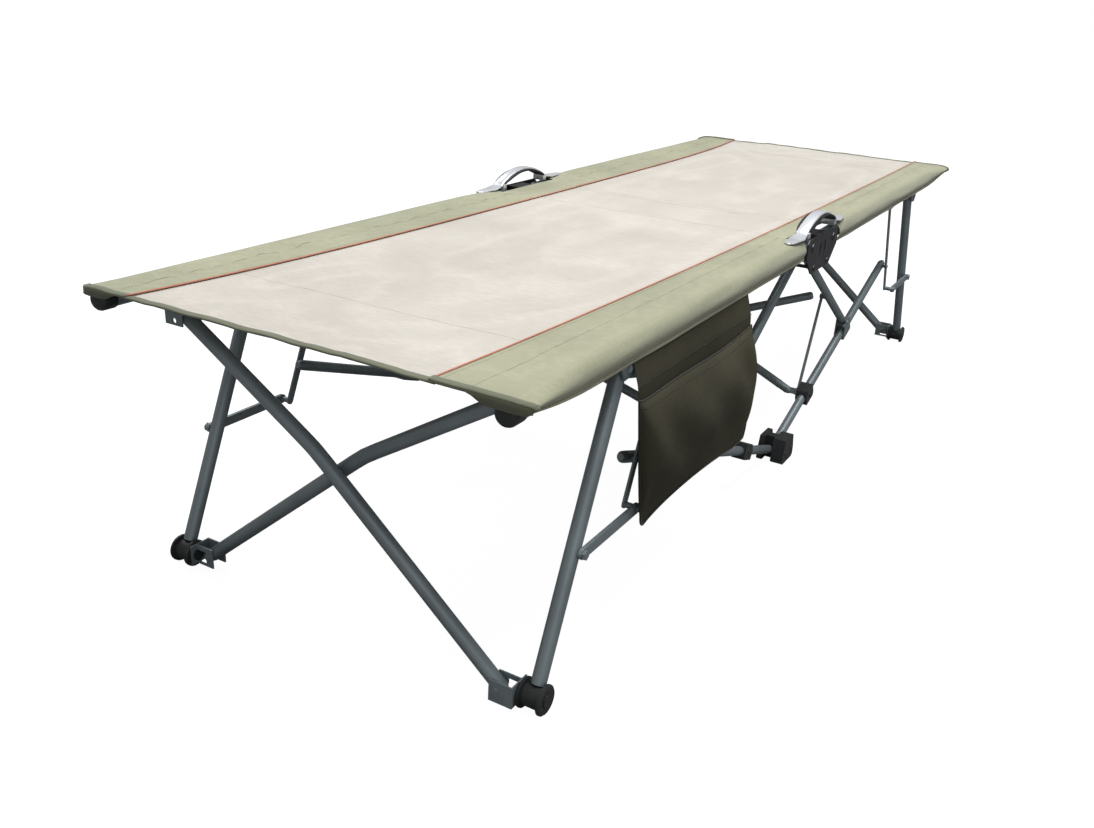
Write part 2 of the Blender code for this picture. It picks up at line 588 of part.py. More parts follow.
def foot_clevis(cross_shift):
    """Steel fork that turns on the foot and holds a cross tube's lower end."""
    back = FOOT_ACROSS - FOOT_WIDTH / 2 - GAP
    u = FOOT_ALONG + cross_shift
    reach = CROSS_RADIUS + GAP
    wall = CLEVIS_WALL
    low, high = CROSS_PIN_HEIGHT - CLEVIS_BELOW, CROSS_PIN_HEIGHT + CLEVIS_ABOVE
    wide = reach + wall
    left = min(u - wide, FOOT_AXLE.x - 0.011)
    right = max(u + wide, FOOT_AXLE.x + 0.011)
    rear = box(left, right, back - wall, back, low, high)
    cheeks = [box(u + s * reach + min(s, 0) * wall, u + s * reach + max(s, 0) * wall,
                  CROSS_PIN_ACROSS - 0.009, back - wall * 0.5, low, high) for s in (-1, 1)]
    pin = rod((u - reach - wall, CROSS_PIN_ACROSS, CROSS_PIN_HEIGHT),
              (u + reach + wall, CROSS_PIN_ACROSS, CROSS_PIN_HEIGHT), TRUSS_PIN_RADIUS, 12)
    heads = [rod((u + s * (reach + wall - 0.0004), CROSS_PIN_ACROSS, CROSS_PIN_HEIGHT),
                 (u + s * (reach + wall + 0.0018), CROSS_PIN_ACROSS, CROSS_PIN_HEIGHT), 0.005, 12)
             for s in (-1, 1)]
    eye = rod(at(FOOT_AXLE, back - 0.02), at(FOOT_AXLE, back + 0.02), 0.006 + PIN_CLEARANCE, 14)
    recess = rod(at(FOOT_AXLE, back - wall), at(FOOT_AXLE, back - 0.02), 0.0095, 14)
    return shape(rear, cheeks + [pin] + heads, [eye, recess])


def end_cross_tube(cross_shift):
    """Tube from one foot to the opposite rail, bent just past the crossing."""
    u = FOOT_ALONG + cross_shift
    lower = Vector((CROSS_PIN_ACROSS, CROSS_PIN_HEIGHT))
    bend = Vector((-CROSS_BEND_ACROSS,
                   CROSS_PIN_HEIGHT + (CROSS_PIN_ACROSS + CROSS_BEND_ACROSS) * CROSS_LOWER_SLOPE))
    top = Vector((-CROSS_TOP_ACROSS,
                  bend.y + (CROSS_TOP_ACROSS - CROSS_BEND_ACROSS) * CROSS_UPPER_SLOPE))
    rise = (bend - lower).normalized()
    lean = (top - bend).normalized()
    path = [lower - rise * 0.008, lower - rise * 0.003, bend - rise * 0.02, bend, bend + lean * 0.02,
            top - lean * 0.004, top]
    sizes = [0.7, 1.0, 1.0, 1.0, 1.0, 1.0, 0.75]
    ease = (rise + lean).normalized()
    path[3] = bend + Vector((-ease.y, ease.x)) * 0.0005
    tube = sweep([(u, p.x, p.y) for p in path], [CROSS_RADIUS * s for s in sizes], 14)
    eye = rod((u - 0.03, lower.x, lower.y), (u + 0.03, lower.x, lower.y),
              TRUSS_PIN_RADIUS + PIN_CLEARANCE, 12)
    return shape(tube, (), [eye])


def mid_cross_tube(shift):
    """Slanting tube from one side's slider up to the other side's strut."""
    side = Vector((LOCK_DIR.y, -LOCK_DIR.x)) * shift
    low = SLIDER + side
    high = SLIDER + LOCK_DIR * (KNUCKLE - SLIDER).length + side
    start = Vector((low.x, MID_CROSS_ACROSS, low.y))
    end = Vector((high.x, -MID_CROSS_ACROSS + 0.002, high.y))
    along = (end - start).normalized()
    normal = Vector((LOCK_DIR.y, 0.0, -LOCK_DIR.x))
    slot_half = 0.0022 + GAP
    points = [start - along * 0.0065, start, end - along * 0.004, end]
    tube = sweep(points, [MID_CROSS_RADIUS * s for s in (0.7, 1.0, 1.0, 0.75)], 14)
    eye = rod(start - normal * 0.03, start + normal * 0.03, LINK_PIN_RADIUS + PIN_CLEARANCE, 12)
    across = normal.cross(along).normalized()
    corners = []
    bm = bmesh.new()
    for n in (-slot_half, slot_half):
        for a, b in ((-0.03, -0.02), (0.0165, -0.02), (0.0165, 0.02), (-0.03, 0.02)):
            corners.append(bm.verts.new(start + along * a + across * b + normal * n))
    for face in ((0, 1, 2, 3), (4, 5, 6, 7), (0, 1, 5, 4), (1, 2, 6, 5), (2, 3, 7, 6), (3, 0, 4, 7)):
        bm.faces.new([corners[i] for i in face])
    slot = mesh_from(bm, "slot")
    return shape(tube, (), [slot, eye])


def mid_foot():
    """Middle foot: two cheeks and a web, open for both base tubes to swing."""
    half = MID_FOOT_HALF
    tall = MID_FOOT_HEIGHT
    outline = ((-half, 0.004), (-half + 0.005, 0.0), (half - 0.005, 0.0), (half, 0.004),
               (half, 0.018), (half * 0.72, tall), (-half * 0.72, tall), (-half, 0.018))
    inner = plate(outline, MID_FOOT_INNER, TRUSS_IN - GAP)
    outer = plate(outline, TRUSS_OUT + GAP, MID_FOOT_OUTER)
    web_half = BASE_PIN.x - TRUSS_RADIUS - GAP
    web = box(-web_half, web_half, MID_FOOT_INNER + 0.001, MID_FOOT_OUTER - 0.001, 0.001, tall - 0.002)
    joins = [outer, web]
    for end in (LEFT, RIGHT):
        pivot = Vector((end * BASE_PIN.x, BASE_PIN.y))
        joins.append(rod(at(pivot, MID_FOOT_INNER + 0.001), at(pivot, MID_FOOT_OUTER - 0.001),
                         TRUSS_PIN_RADIUS, 12))
        joins.append(dome(pivot, MID_FOOT_OUTER, 1, 0.0045, 0.0018))
    return shape(inner, joins)


def thicken(bm, thickness):
    """Turn a sheet into a thin closed solid."""
    bm.normal_update()
    lower = {}
    for v in list(bm.verts):
        lower[v] = bm.verts.new(v.co - v.normal * thickness)
    faces = list(bm.faces)
    rim = [e for e in bm.edges if len(e.link_faces) == 1]
    for edge in rim:
        a, b = edge.verts
        bm.faces.new((a, b, lower[b], lower[a]))
    for face in faces:
        bm.faces.new([lower[v] for v in reversed(face.verts)])


def bed_cloth():
    """Half of the cloth top: a taut panel that rolls over both rails to a hem."""
    sleeve = RAIL_RADIUS + CLOTH_LAP + CLOTH_THICKNESS
    hem = RAIL_HEIGHT - HEM_DROP
    section = [(RAIL_ACROSS + sleeve + HEM_FLARE, hem), (RAIL_ACROSS + sleeve, RAIL_HEIGHT)]
    for k in range(1, 5):
        angle = math.pi / 2 * k / 4
        section.append((RAIL_ACROSS + sleeve * math.cos(angle), RAIL_HEIGHT + sleeve * math.sin(angle)))
    flat_top = RAIL_HEIGHT + sleeve
    inner = RAIL_ACROSS
    for share in (0.93, NOTCH_ACROSS / RAIL_ACROSS, 0.72, 0.55, 0.37, 0.18):
        w = inner * share
        sag = CLOTH_SAG * (1 - (w / inner) ** 2)
        section.append((w, flat_top - sag + CLOTH_SAG * 0.15))
    middle = [(0.0, flat_top - CLOTH_SAG * 0.85)]
    profile = section + middle + [(-w, z) for w, z in reversed(section)]
    notch = section.index(section[7])
    start = 0.002
    stations = [start, NOTCH_ALONG - 0.042, NOTCH_ALONG] + [BED_LENGTH / 2 - row for row in CLOTH_ROWS]
    bm = bmesh.new()
    grid = []
    for i, u in enumerate(stations):
        grid.append([bm.verts.new((u, w, z)) for w, z in profile])
    count = len(profile)
    for i in range(len(stations) - 1):
        for k in range(count - 1):
            outside = k < notch or k >= count - 1 - notch
            if stations[i + 1] <= NOTCH_ALONG + 1e-6 and outside:
                continue
            bm.faces.new((grid[i][k], grid[i][k + 1], grid[i + 1][k + 1], grid[i + 1][k]))
    for v in [v for v in bm.verts if not v.link_faces]:
        bm.verts.remove(v)
    bmesh.ops.recalc_face_normals(bm, faces=bm.faces)
    bm.normal_update()
    highest = max(bm.faces, key=lambda f: f.calc_center_median().z)
    if highest.normal.z < 0:
        bmesh.ops.reverse_faces(bm, faces=bm.faces)
    thicken(bm, CLOTH_THICKNESS)
    return mesh_from(bm, "cloth")


def side_pocket():
    """Hanging pouch: open mouth, bulging front with soft upright folds."""
    count = 40
    levels = 8
    back = -(RAIL_ACROSS + RAIL_RADIUS + CLOTH_LAP + CLOTH_THICKNESS + HEM_FLARE + SEAT)
    middle = (POCKET_FROM + POCKET_TO) / 2
    half = (POCKET_TO - POCKET_FROM) / 2

    def ring(level, inset):
        """One closed loop of the pouch at a level from mouth (0) to bottom (1)."""
        loop = []
        narrow = 1.0 - 0.09 * level ** 3
        shift = 0.030 * level
        for k in range(count):
            angle = 2 * math.pi * k / count
            side = math.cos(angle)
            front = max(0.0, -math.sin(angle))
            spread = math.copysign(abs(side) ** 0.55, side)
            x = middle + shift + (half * narrow - inset) * spread
            belly = POCKET_BULGE * (0.55 + 0.60 * math.sin(math.pi * min(level * 1.05, 1.0)))
            fold = 0.0035 * math.sin(3.0 * math.pi * spread + 1.5 * level) * front
            depth = (belly * (1.0 - 0.75 * level ** 4) + fold) * front ** 0.6
            y = back - POCKET_WALL - depth
            y += inset if front > 0 else 0.0
            if front <= 0:
                y = back - inset
            droop = 0.030 * front * (1.0 - spread ** 2) * (1.0 - level)
            bottom = 0.012 * (1.0 - spread ** 4) * level
            z = POCKET_TOP - droop - (POCKET_DEPTH + bottom) * level
            z += inset * 1.5 if level >= 1.0 else 0.0
            loop.append((x, y, z))
        return loop

    bm = bmesh.new()
    outer = [[bm.verts.new(p) for p in ring(i / levels, 0.0)] for i in range(levels + 1)]
    inner = [[bm.verts.new(p) for p in ring(i / levels, POCKET_WALL)] for i in range(levels + 1)]
    for skin in (outer, inner):
        for upper, lower in zip(skin, skin[1:]):
            for k in range(count):
                n = (k + 1) % count
                bm.faces.new((upper[k], upper[n], lower[n], lower[k]))
        bm.faces.new(skin[-1])
    for k in range(count):
        n = (k + 1) % count
        bm.faces.new((outer[0][k], outer[0][n], inner[0][n], inner[0][k]))
    return mesh_from(bm, "pouch")


# Assembly
def centre_on_origin():
    """Shift the whole bed so that its box stands centred on the origin."""
    bpy.context.view_layer.update()
    things = [o for o in bpy.data.objects if o.type == "MESH"]
    ys = [(o.matrix_world @ v.co).y for o in things for v in o.data.vertices]
    shift = -(min(ys) + max(ys)) / 2
    for thing in things:
        if thing.parent is None:
            thing.location.y += shift
    bpy.context.view_layer.update()


def build():
    """Make every piece and hang it on the piece that carries it."""
    for thing in list(bpy.data.objects):
        bpy.data.objects.remove(thing, do_unlink=True)

    dark = material("painted steel, dark grey", (0.060, 0.063, 0.066), 0.42, 0.75)
    grey = material("zinc plated steel", (0.43, 0.44, 0.45), 0.34, 0.95)
    black = material("black plastic", (0.015, 0.015, 0.016), 0.55)
    silver = material("silver grey plastic", (0.30, 0.31, 0.32), 0.38, 0.30)
    cloth = material("beige and olive polyester", (0.47, 0.41, 0.29), 0.85)
    olive = material("dark olive polyester", (0.060, 0.056, 0.035), 0.88)

    middle = bed_cloth()
    bracket = hinge_bracket()
    handle = carry_handle()
    foot = mid_foot()
    strut, base, block = centre_strut(), base_tube(), slider_block()
    link, stay, leg, spool = leg_link(), leg_stay(), corner_leg(), corner_foot()

    for side, side_name in SIDES:
        end_shift = CROSS_OFFSET if side == NEAR else -CROSS_OFFSET
        mid_shift = 0.0 if side == NEAR else MID_CROSS_OFFSET * 2
        rail = side_rail(-end_shift)
        lock, clevis = lock_link(mid_shift), foot_clevis(end_shift)
        end_tube, mid_tube = end_cross_tube(end_shift), mid_cross_tube(mid_shift)
        hub = place(f"hinge_bracket_{side_name}", bracket, grey,
                    (0.0, RAIL_ACROSS, RAIL_HEIGHT), 1, side)
        place(f"carry_handle_{side_name}", handle, silver,
              (0.0, RAIL_ACROSS, RAIL_HEIGHT + BRACKET_RISE), 1, side, hub)
        middle_foot = place(f"mid_foot_{side_name}", foot, black,
                            (0.0, TRUSS_ACROSS, 0.0), 1, side, hub)
        for end, end_name in ENDS:
            tag = f"{side_name}_{end_name}"
            rail_at = place(f"side_rail_{tag}", rail, dark, at(RAIL_PIN, RAIL_ACROSS), end, side, hub)
            strut_at = place(f"centre_strut_{tag}", strut, dark, at(STRUT_PIN, TRUSS_ACROSS), end, side,
                             hub)
            base_at = place(f"base_tube_{tag}", base, dark, at(BASE_PIN, TRUSS_ACROSS), end, side,
                            middle_foot)
            lock_at = place(f"lock_link_{tag}", lock, dark, at(KNUCKLE, LOCK_IN), end, side, strut_at)
            place(f"slider_block_{tag}", block, black, at(SLIDER, TRUSS_ACROSS), end, side, base_at)
            link_at = place(f"leg_link_{tag}", link, dark, at(LINK_PIN, LINK_IN), end, side, rail_at)
            place(f"leg_stay_{tag}", stay, dark, at(STAY_PIN, STAY_IN), end, side, link_at)
            leg_at = place(f"corner_leg_{tag}", leg, dark, at(LEG_PIN, LEG_ACROSS), end, side, rail_at)
            foot_at = place(f"corner_foot_{tag}", spool, black, at(FOOT_AXLE, FOOT_ACROSS), end, side,
                            leg_at)
            clevis_at = place(f"foot_clevis_{tag}", clevis, dark, at(FOOT_AXLE, CROSS_PIN_ACROSS), end,
                              side, foot_at)
            place(f"end_cross_tube_{tag}", end_tube, dark,
                  (FOOT_ALONG + end_shift, CROSS_PIN_ACROSS, CROSS_PIN_HEIGHT), end, side, clevis_at)
            place(f"mid_cross_tube_{tag}", mid_tube, dark, (SLIDER.x, MID_CROSS_ACROSS, SLIDER.y), end,
                  side, lock_at)
    for end, end_name in ENDS:
        place(f"bed_cloth_{end_name}", middle, cloth, (RAIL_PIN.x, 0.0, RAIL_PIN.y), end, 1)
    place("side_pocket", side_pocket(), olive, ((POCKET_FROM + POCKET_TO) / 2, -RAIL_ACROSS, POCKET_TOP))
    centre_on_origin()


build()
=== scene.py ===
"""Finish of a folding camp bed: cloth top, hanging pocket, handles, paint and plastic.

X runs along the bed, Y across it and Z up, in metres. The solids of the frame stay
where they are and get their surfaces here. The cloth, the pocket and the handles are
modelled again, finer, in the same places. In the functions for the cloth, x is a place
along the bed and w a distance from its centre line.
"""
import json
import math

import bmesh
import bpy
from mathutils import Matrix, Vector, noise


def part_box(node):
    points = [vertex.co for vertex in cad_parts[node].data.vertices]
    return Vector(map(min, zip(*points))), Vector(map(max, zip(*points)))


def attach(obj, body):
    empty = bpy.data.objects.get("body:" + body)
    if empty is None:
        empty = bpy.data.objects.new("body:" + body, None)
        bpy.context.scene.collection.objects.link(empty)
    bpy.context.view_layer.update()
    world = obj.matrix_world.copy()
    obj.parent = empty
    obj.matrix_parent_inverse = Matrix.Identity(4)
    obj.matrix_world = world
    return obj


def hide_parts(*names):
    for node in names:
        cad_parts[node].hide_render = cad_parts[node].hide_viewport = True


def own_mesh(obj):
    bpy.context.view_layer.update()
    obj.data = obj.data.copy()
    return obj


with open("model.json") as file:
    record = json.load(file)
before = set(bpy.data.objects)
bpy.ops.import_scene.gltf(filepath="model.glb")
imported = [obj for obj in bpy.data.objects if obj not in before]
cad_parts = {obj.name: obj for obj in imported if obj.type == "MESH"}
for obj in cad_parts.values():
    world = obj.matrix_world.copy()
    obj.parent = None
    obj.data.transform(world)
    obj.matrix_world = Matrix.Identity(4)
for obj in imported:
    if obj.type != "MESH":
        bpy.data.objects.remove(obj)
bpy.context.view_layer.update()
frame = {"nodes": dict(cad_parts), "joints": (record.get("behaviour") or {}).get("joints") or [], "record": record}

NEAR, FAR = -1, 1
LEFT, RIGHT = -1, 1
SIDES = ((NEAR, "near"), (FAR, "far"))
ENDS = ((LEFT, "left"), (RIGHT, "right"))

# Places read from the frame
PINS = {joint["name"]: joint.get("pos_m") for joint in frame["joints"]}
RAIL_Z = PINS["near_left_fold"][2]
MIDDLE_Y = (PINS["near_left_fold"][1] + PINS["far_left_fold"][1]) / 2
RAIL_W = (PINS["far_left_fold"][1] - PINS["near_left_fold"][1]) / 2
FOLD_X = PINS["near_right_fold"][0]
HEM_OVERHANG = 0.006           # cloth reaches this far past the frame's own cloth
BED_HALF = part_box("bed_cloth_right")[1].x + HEM_OVERHANG

# Sheet of the bed
CLOTH = 0.0012                 # thickness
SAG = 0.006                    # dip of the middle under the rails
SAG_RISE = 0.15                # share of the dip that lifts the whole sheet again
END_GAP = 0.001                # sheets end this far inside the tape
FOLD_GAP = 0.002               # and start this far from the fold's pins
PANEL_TUCK = 0.0014            # panel's edges lie this far under the bands
TUCK_REACH = 0.12              # the tuck begins this far inside the panel's edge
TUCK_SLOPE = 0.055             # and is whole after this much
PANEL_LAP = 0.007              # panel reaches this far past the seam
CALM_EDGE = 0.05               # panel lies still towards its edges, over this width
CALM_FOLD = 0.04               # and towards the fold, over this length
END_PULL = 0.10                # puckers of the hem reach this far into the panel
CROSS_SEAM = {LEFT: 0.785, RIGHT: 0.800}   # stitched line across each half
FOLD_SEAM = 0.012              # stitched line this far from the fold's pins
STRIP_LAP = 0.010              # strip over the fold reaches this far under the halves
STRIP_TUCK = 0.0005            # and lies this far under them there
STRIP_SINK = 0.0002            # elsewhere it and the tabs lie this far under the sheet

# Seams between the panel and the bands
NEAR_SEAM = 0.238              # near seam at the right end
NEAR_BOW = 0.033               # at the left end it is this much further in
FAR_SEAM = 0.202               # far seam in the middle of the bed
FAR_BOW = 0.029                # at the ends it is this much further out
FAR_SLANT = -0.004             # its drift for each metre along the bed
PIPING = 0.0011                # radius of the cord in a seam
PIPING_LIFT = 0.0010           # the cord lies this far over the sheet
FOLD_PIPING_LIFT = 0.0008      # and this far over the strip at the fold
PIPING_LAP = 0.0015            # there it runs this far past the fold's pins

# Side bands and their sleeves
SLEEVE = 0.0165                # outer radius of the sleeve round a rail
SLEEVE_STEPS = 8               # steps round it
BAND_COLUMNS = 12              # steps from the seam to the rail
BAND_SEED = {NEAR: 11.0, FAR: 29.0}
RIPPLE = {NEAR: 0.0020, FAR: 0.0056}   # height of the ripples
RIPPLE_CALM = 0.07             # ripples die down over this length at the ends
RIPPLE_SEAM = 0.045            # they grow over this width from the seam
RIPPLE_RAIL = 0.02             # and die down over this width at the rail
SEAM_RIDGE = 0.0005            # band stands this much higher at the seam
RIDGE_WIDTH = 0.008
GATHER = 1.4                   # near band gathers this much more by its handle
GATHER_REACH = 0.16            # the gathers die down over this length
NEAR_PUFF = 0.0008             # sleeves stand this much fuller
FAR_PUFF = 0.0030
PUFF_REACH = 0.10              # the far one comes to that over this length
NOTCH_X = 0.092                # sleeves stop here, beside the handles
NOTCH_W = 0.273                # there the cloth ends this far out
TAB_LAP = 0.004                # tab beside the handle runs this far under its band
HEM_ANGLE = 35.0               # sleeve ends at this angle below the rail's side
HEM_STRIP = 0.0062             # stitched strip that hangs below the sleeve
SEWN_COLUMNS = (1, 6, 20, 21)  # by the seam, mid-band and at the hem strip

# Ends of the bands
FLAT_FROM = 0.82               # sleeves flatten from here to the ends
FLAT_EASE = 1.3                # power by which the flattening sets in
FLAT_LAYERS = 0.0110           # height of the flattened sleeve at the end
FLAT_SPREAD = 1.75             # it spreads out by this factor
CORNER_CUT = {NEAR: 0.008, FAR: 0.012}   # rounding of the corners
CORNER_FROM = 0.0125           # it begins this far outside the rail's middle
CORNER_WIDTH = 0.016           # grows to its size over this width
CORNER_LENGTH = 0.08           # and over this length of the bed
TAPE_WIDTH = 0.009             # binding tape on the cloth
TAPE_THICK = 0.0009
TAPE_PROUD = 0.0016            # tape stands this far past the sheet's end
CURTAIN_DROP = 0.0110          # hem turned down in front of the rail's end
CURTAIN_FROM = 0.050           # it starts this far inward of the rail
CURTAIN_LEAST = 0.0022         # it hangs down at least this far
CURTAIN_COLUMNS = 18           # part of the band's edge that has it
PLUG_RADIUS = 0.0135           # the frame's own rail cap
PLUG_PROUD = 0.0003            # the rounded plug stands this far outside it
PLUG_SIDES = 24
PLUG_PROFILE = (               # way back from the tip, and way in from the radius
    (0.0222, 0.0), (0.0062, 0.0), (0.0034, 0.0010), (0.0012, 0.0032), (0.0, 0.0062))

# Thread and cord
STITCH_LENGTH = 0.0032
STITCH_PITCH = 0.0047
STITCH_HALF = 0.00045          # half of a stitch's width
STITCH_CROWN = 0.6             # its top as a share of its width
STITCH_PROUD = 0.0003          # a stitch stands this far over the cloth
STITCH_SUNK = 0.0003           # and starts this far inside it
STITCH_FORM = ((-0.5, 0.35), (-0.2, 1.0), (0.2, 1.0), (0.5, 0.35))   # place and size
CORD_SIDES = 8


# Materials
def new_material(name):
    """New material, its node tree and its shader."""
    made = bpy.data.materials.new(name)
    made.use_nodes = True
    tree = made.node_tree
    return made, tree, tree.nodes["Principled BSDF"]


def add(tree, kind, **settings):
    """Add a node and set its properties."""
    node = tree.nodes.new(kind)
    for key, value in settings.items():
        setattr(node, key, value)
    return node


def set_inputs(node, values):
    """Set a node's own values by the names of its sockets."""
    for name, value in values.items():
        node.inputs[name].default_value = value


def noise_value(tree, scale, detail, stretch=(1.0, 1.0, 1.0)):
    """Noise in object space, stretched where asked, and its coordinates."""
    place = add(tree, "ShaderNodeTexCoord")
    mapping = add(tree, "ShaderNodeMapping")
    set_inputs(mapping, {"Scale": stretch})
    tree.links.new(place.outputs["Object"], mapping.inputs["Vector"])
    texture = add(tree, "ShaderNodeTexNoise")
    set_inputs(texture, {"Scale": scale, "Detail": detail})
    tree.links.new(mapping.outputs["Vector"], texture.inputs["Vector"])
    return texture.outputs["Fac"], mapping.outputs["Vector"]


def ramp(tree, source, low, high, start=0.3, end=0.7):
    """Colour ramp between two colours."""
    node = add(tree, "ShaderNodeValToRGB")
    for element, place, colour in zip(node.color_ramp.elements, (start, end), (low, high)):
        element.position = place
        element.color = (*colour, 1.0)
    tree.links.new(source, node.inputs["Fac"])
    return node.outputs["Color"]


def roughen(tree, shader, source, low, high):
    """Let a 0 to 1 value set the roughness, within a range."""
    node = add(tree, "ShaderNodeMapRange")
    set_inputs(node, {"To Min": low, "To Max": high})
    tree.links.new(source, node.inputs["Value"])
    tree.links.new(node.outputs["Result"], shader.inputs["Roughness"])


def bump(tree, shader, height, strength, distance):
    """Join a height to the shader's normal, over any bump already there."""
    node = add(tree, "ShaderNodeBump")
    set_inputs(node, {"Strength": strength, "Distance": distance})
    tree.links.new(height, node.inputs["Height"])
    if shader.inputs["Normal"].is_linked:
        tree.links.new(shader.inputs["Normal"].links[0].from_socket, node.inputs["Normal"])
    tree.links.new(node.outputs["Normal"], shader.inputs["Normal"])


def combine(tree, first, second, operation="MULTIPLY"):
    """Combine two values."""
    node = add(tree, "ShaderNodeMath", operation=operation)
    tree.links.new(first, node.inputs[0])
    tree.links.new(second, node.inputs[1])
    return node.outputs[0]


def mix_colour(tree, factor, first, second, blend="MIX"):
    """Blend two colour sockets, by a number or by another socket."""
    node = add(tree, "ShaderNodeMix", data_type="RGBA", blend_type=blend)
    if isinstance(factor, float):
        node.inputs[0].default_value = factor
    else:
        tree.links.new(factor, node.inputs[0])
    tree.links.new(first, node.inputs[6])
    tree.links.new(second, node.inputs[7])
    return node.outputs[2]


def shades(colour, dark, light):
    """A darker and a lighter shade of a colour."""
    return tuple(c * dark for c in colour), tuple(min(c * light, 1.0) for c in colour)


WAVE_BAND = 0.314              # width of one band of the wave texture at a scale of 1
WEFT_RATIO = 1.15              # weft threads are this much further apart than warp


def threads(tree, vector, direction, pitch):
    """Threads side by side along one direction."""
    node = add(tree, "ShaderNodeTexWave", bands_direction=direction)
    set_inputs(node, {"Scale": WAVE_BAND / pitch, "Distortion": 0.6, "Detail": 1.0})
    tree.links.new(vector, node.inputs["Vector"])
    return node.outputs["Fac"]


def woven(name, dark, light, pitch=0.0013, coarse=0.5, roughness=0.82, sheen=0.25):
    """Woven polyester: crossed threads, slubs, and a slow drift of colour."""
    made, tree, shader = new_material(name)
    drift, vector = noise_value(tree, scale=5.0, detail=4.0)
    slub, _ = noise_value(tree, scale=260.0, detail=2.0, stretch=(1.0, 0.25, 1.0))
    warp = threads(tree, vector, "X", pitch)
    weft = threads(tree, vector, "Y", pitch * WEFT_RATIO)
    rise = threads(tree, vector, "Z", pitch * WEFT_RATIO)
    cloth = combine(tree, combine(tree, warp, weft, "MAXIMUM"), rise, "MAXIMUM")
    base = ramp(tree, drift, dark, light)
    grain = ramp(tree, combine(tree, cloth, slub), (0.80, 0.80, 0.80), (1.06, 1.06, 1.06),
                 start=0.15, end=0.75)
    shade = mix_colour(tree, 0.75, base, grain, "MULTIPLY")
    tree.links.new(shade, shader.inputs["Base Color"])
    roughen(tree, shader, slub, roughness - 0.08, roughness + 0.08)
    set_inputs(shader, {"Sheen Weight": sheen, "Sheen Roughness": 0.5,
                        "Specular IOR Level": 0.25})
    bump(tree, shader, cloth, strength=coarse, distance=0.00025)
    crease, _ = noise_value(tree, scale=34.0, detail=3.0, stretch=(0.45, 1.0, 1.0))
    bump(tree, shader, crease, strength=0.22, distance=0.0012)
    return made


def painted(name, colour, roughness, metallic):
    """Powder coat on steel: fine orange peel, dulled patches and thin scuffs."""
    made, tree, shader = new_material(name)
    tone, _ = noise_value(tree, scale=9.0, detail=4.0)
    base = ramp(tree, tone, *shades(colour, 0.86, 1.22))
    scuff, _ = noise_value(tree, scale=130.0, detail=6.0, stretch=(0.2, 1.0, 1.0))
    mask = ramp(tree, scuff, (0.0, 0.0, 0.0), (1.0, 1.0, 1.0), start=0.66, end=0.74)
    faded = add(tree, "ShaderNodeMath", operation="MULTIPLY")
    faded.inputs[1].default_value = 0.5
    tree.links.new(mask, faded.inputs[0])
    bright = add(tree, "ShaderNodeRGB")
    bright.outputs[0].default_value = (0.22, 0.23, 0.23, 1.0)
    tree.links.new(mix_colour(tree, faded.outputs[0], base, bright.outputs[0]),
                   shader.inputs["Base Color"])
    roughen(tree, shader, tone, roughness - 0.06, roughness + 0.10)
    set_inputs(shader, {"Metallic": metallic, "Coat Weight": 0.12, "Coat Roughness": 0.25})
    peel, _ = noise_value(tree, scale=900.0, detail=2.0)
    bump(tree, shader, peel, strength=0.10, distance=0.00008)
    return made


def plated(name, colour, roughness):
    """Zinc plated pressed steel: mottled plating and rolling marks."""
    made, tree, shader = new_material(name)
    tone, vector = noise_value(tree, scale=60.0, detail=5.0)
    cells = add(tree, "ShaderNodeTexVoronoi")
    set_inputs(cells, {"Scale": 160.0})
    tree.links.new(vector, cells.inputs["Vector"])
    base = ramp(tree, tone, *shades(colour, 0.72, 1.25))
    flake = ramp(tree, cells.outputs["Distance"], (0.88, 0.88, 0.88), (1.0, 1.0, 1.0),
                 start=0.0, end=0.8)
    tree.links.new(mix_colour(tree, 0.6, base, flake, "MULTIPLY"), shader.inputs["Base Color"])
    roughen(tree, shader, tone, roughness - 0.06, roughness + 0.16)
    set_inputs(shader, {"Metallic": 0.95})
    marks, _ = noise_value(tree, scale=420.0, detail=2.0, stretch=(0.08, 1.0, 1.0))
    bump(tree, shader, marks, strength=0.12, distance=0.00008)
    return made


def moulded(name, colour, roughness=0.48, metallic=0.0, grain=0.16):
    """Injection moulded plastic: fine spark grain and handling shine."""
    made, tree, shader = new_material(name)
    tone, _ = noise_value(tree, scale=14.0, detail=3.0)
    tree.links.new(ramp(tree, tone, *shades(colour, 0.85, 1.2)), shader.inputs["Base Color"])
    roughen(tree, shader, tone, roughness - 0.08, roughness + 0.10)
    set_inputs(shader, {"Metallic": metallic})
    peel, _ = noise_value(tree, scale=1400.0, detail=2.0)
    bump(tree, shader, peel, strength=grain, distance=0.00007)
    return made


BEIGE = woven("beige_weave", (0.448, 0.416, 0.368), (0.518, 0.486, 0.436))
SAGE = woven("olive_weave", (0.262, 0.266, 0.176), (0.335, 0.338, 0.228))
TAPE = woven("olive_tape", (0.098, 0.104, 0.066), (0.146, 0.154, 0.098), pitch=0.0020, coarse=0.8)
POCKET = woven("dark_olive_weave", (0.0420, 0.0392, 0.0245), (0.0780, 0.0730, 0.0450),
               pitch=0.0011, coarse=0.45, roughness=0.88, sheen=0.0)
POCKET_EDGE = woven("dark_olive_tape", (0.016, 0.016, 0.011), (0.030, 0.029, 0.019),
                    pitch=0.0018, coarse=0.7)
CORAL = woven("coral_piping", (0.46, 0.165, 0.105), (0.56, 0.24, 0.16), pitch=0.0009)
THREAD = woven("olive_thread", (0.115, 0.115, 0.070), (0.17, 0.17, 0.105),
               pitch=0.0006, coarse=0.4)
PALE_THREAD = woven("sand_thread", (0.42, 0.37, 0.29), (0.50, 0.45, 0.36),
                    pitch=0.0006, coarse=0.4)
DARK_THREAD = woven("dark_thread", (0.014, 0.013, 0.009), (0.030, 0.028, 0.020),
                    pitch=0.0006, coarse=0.4)
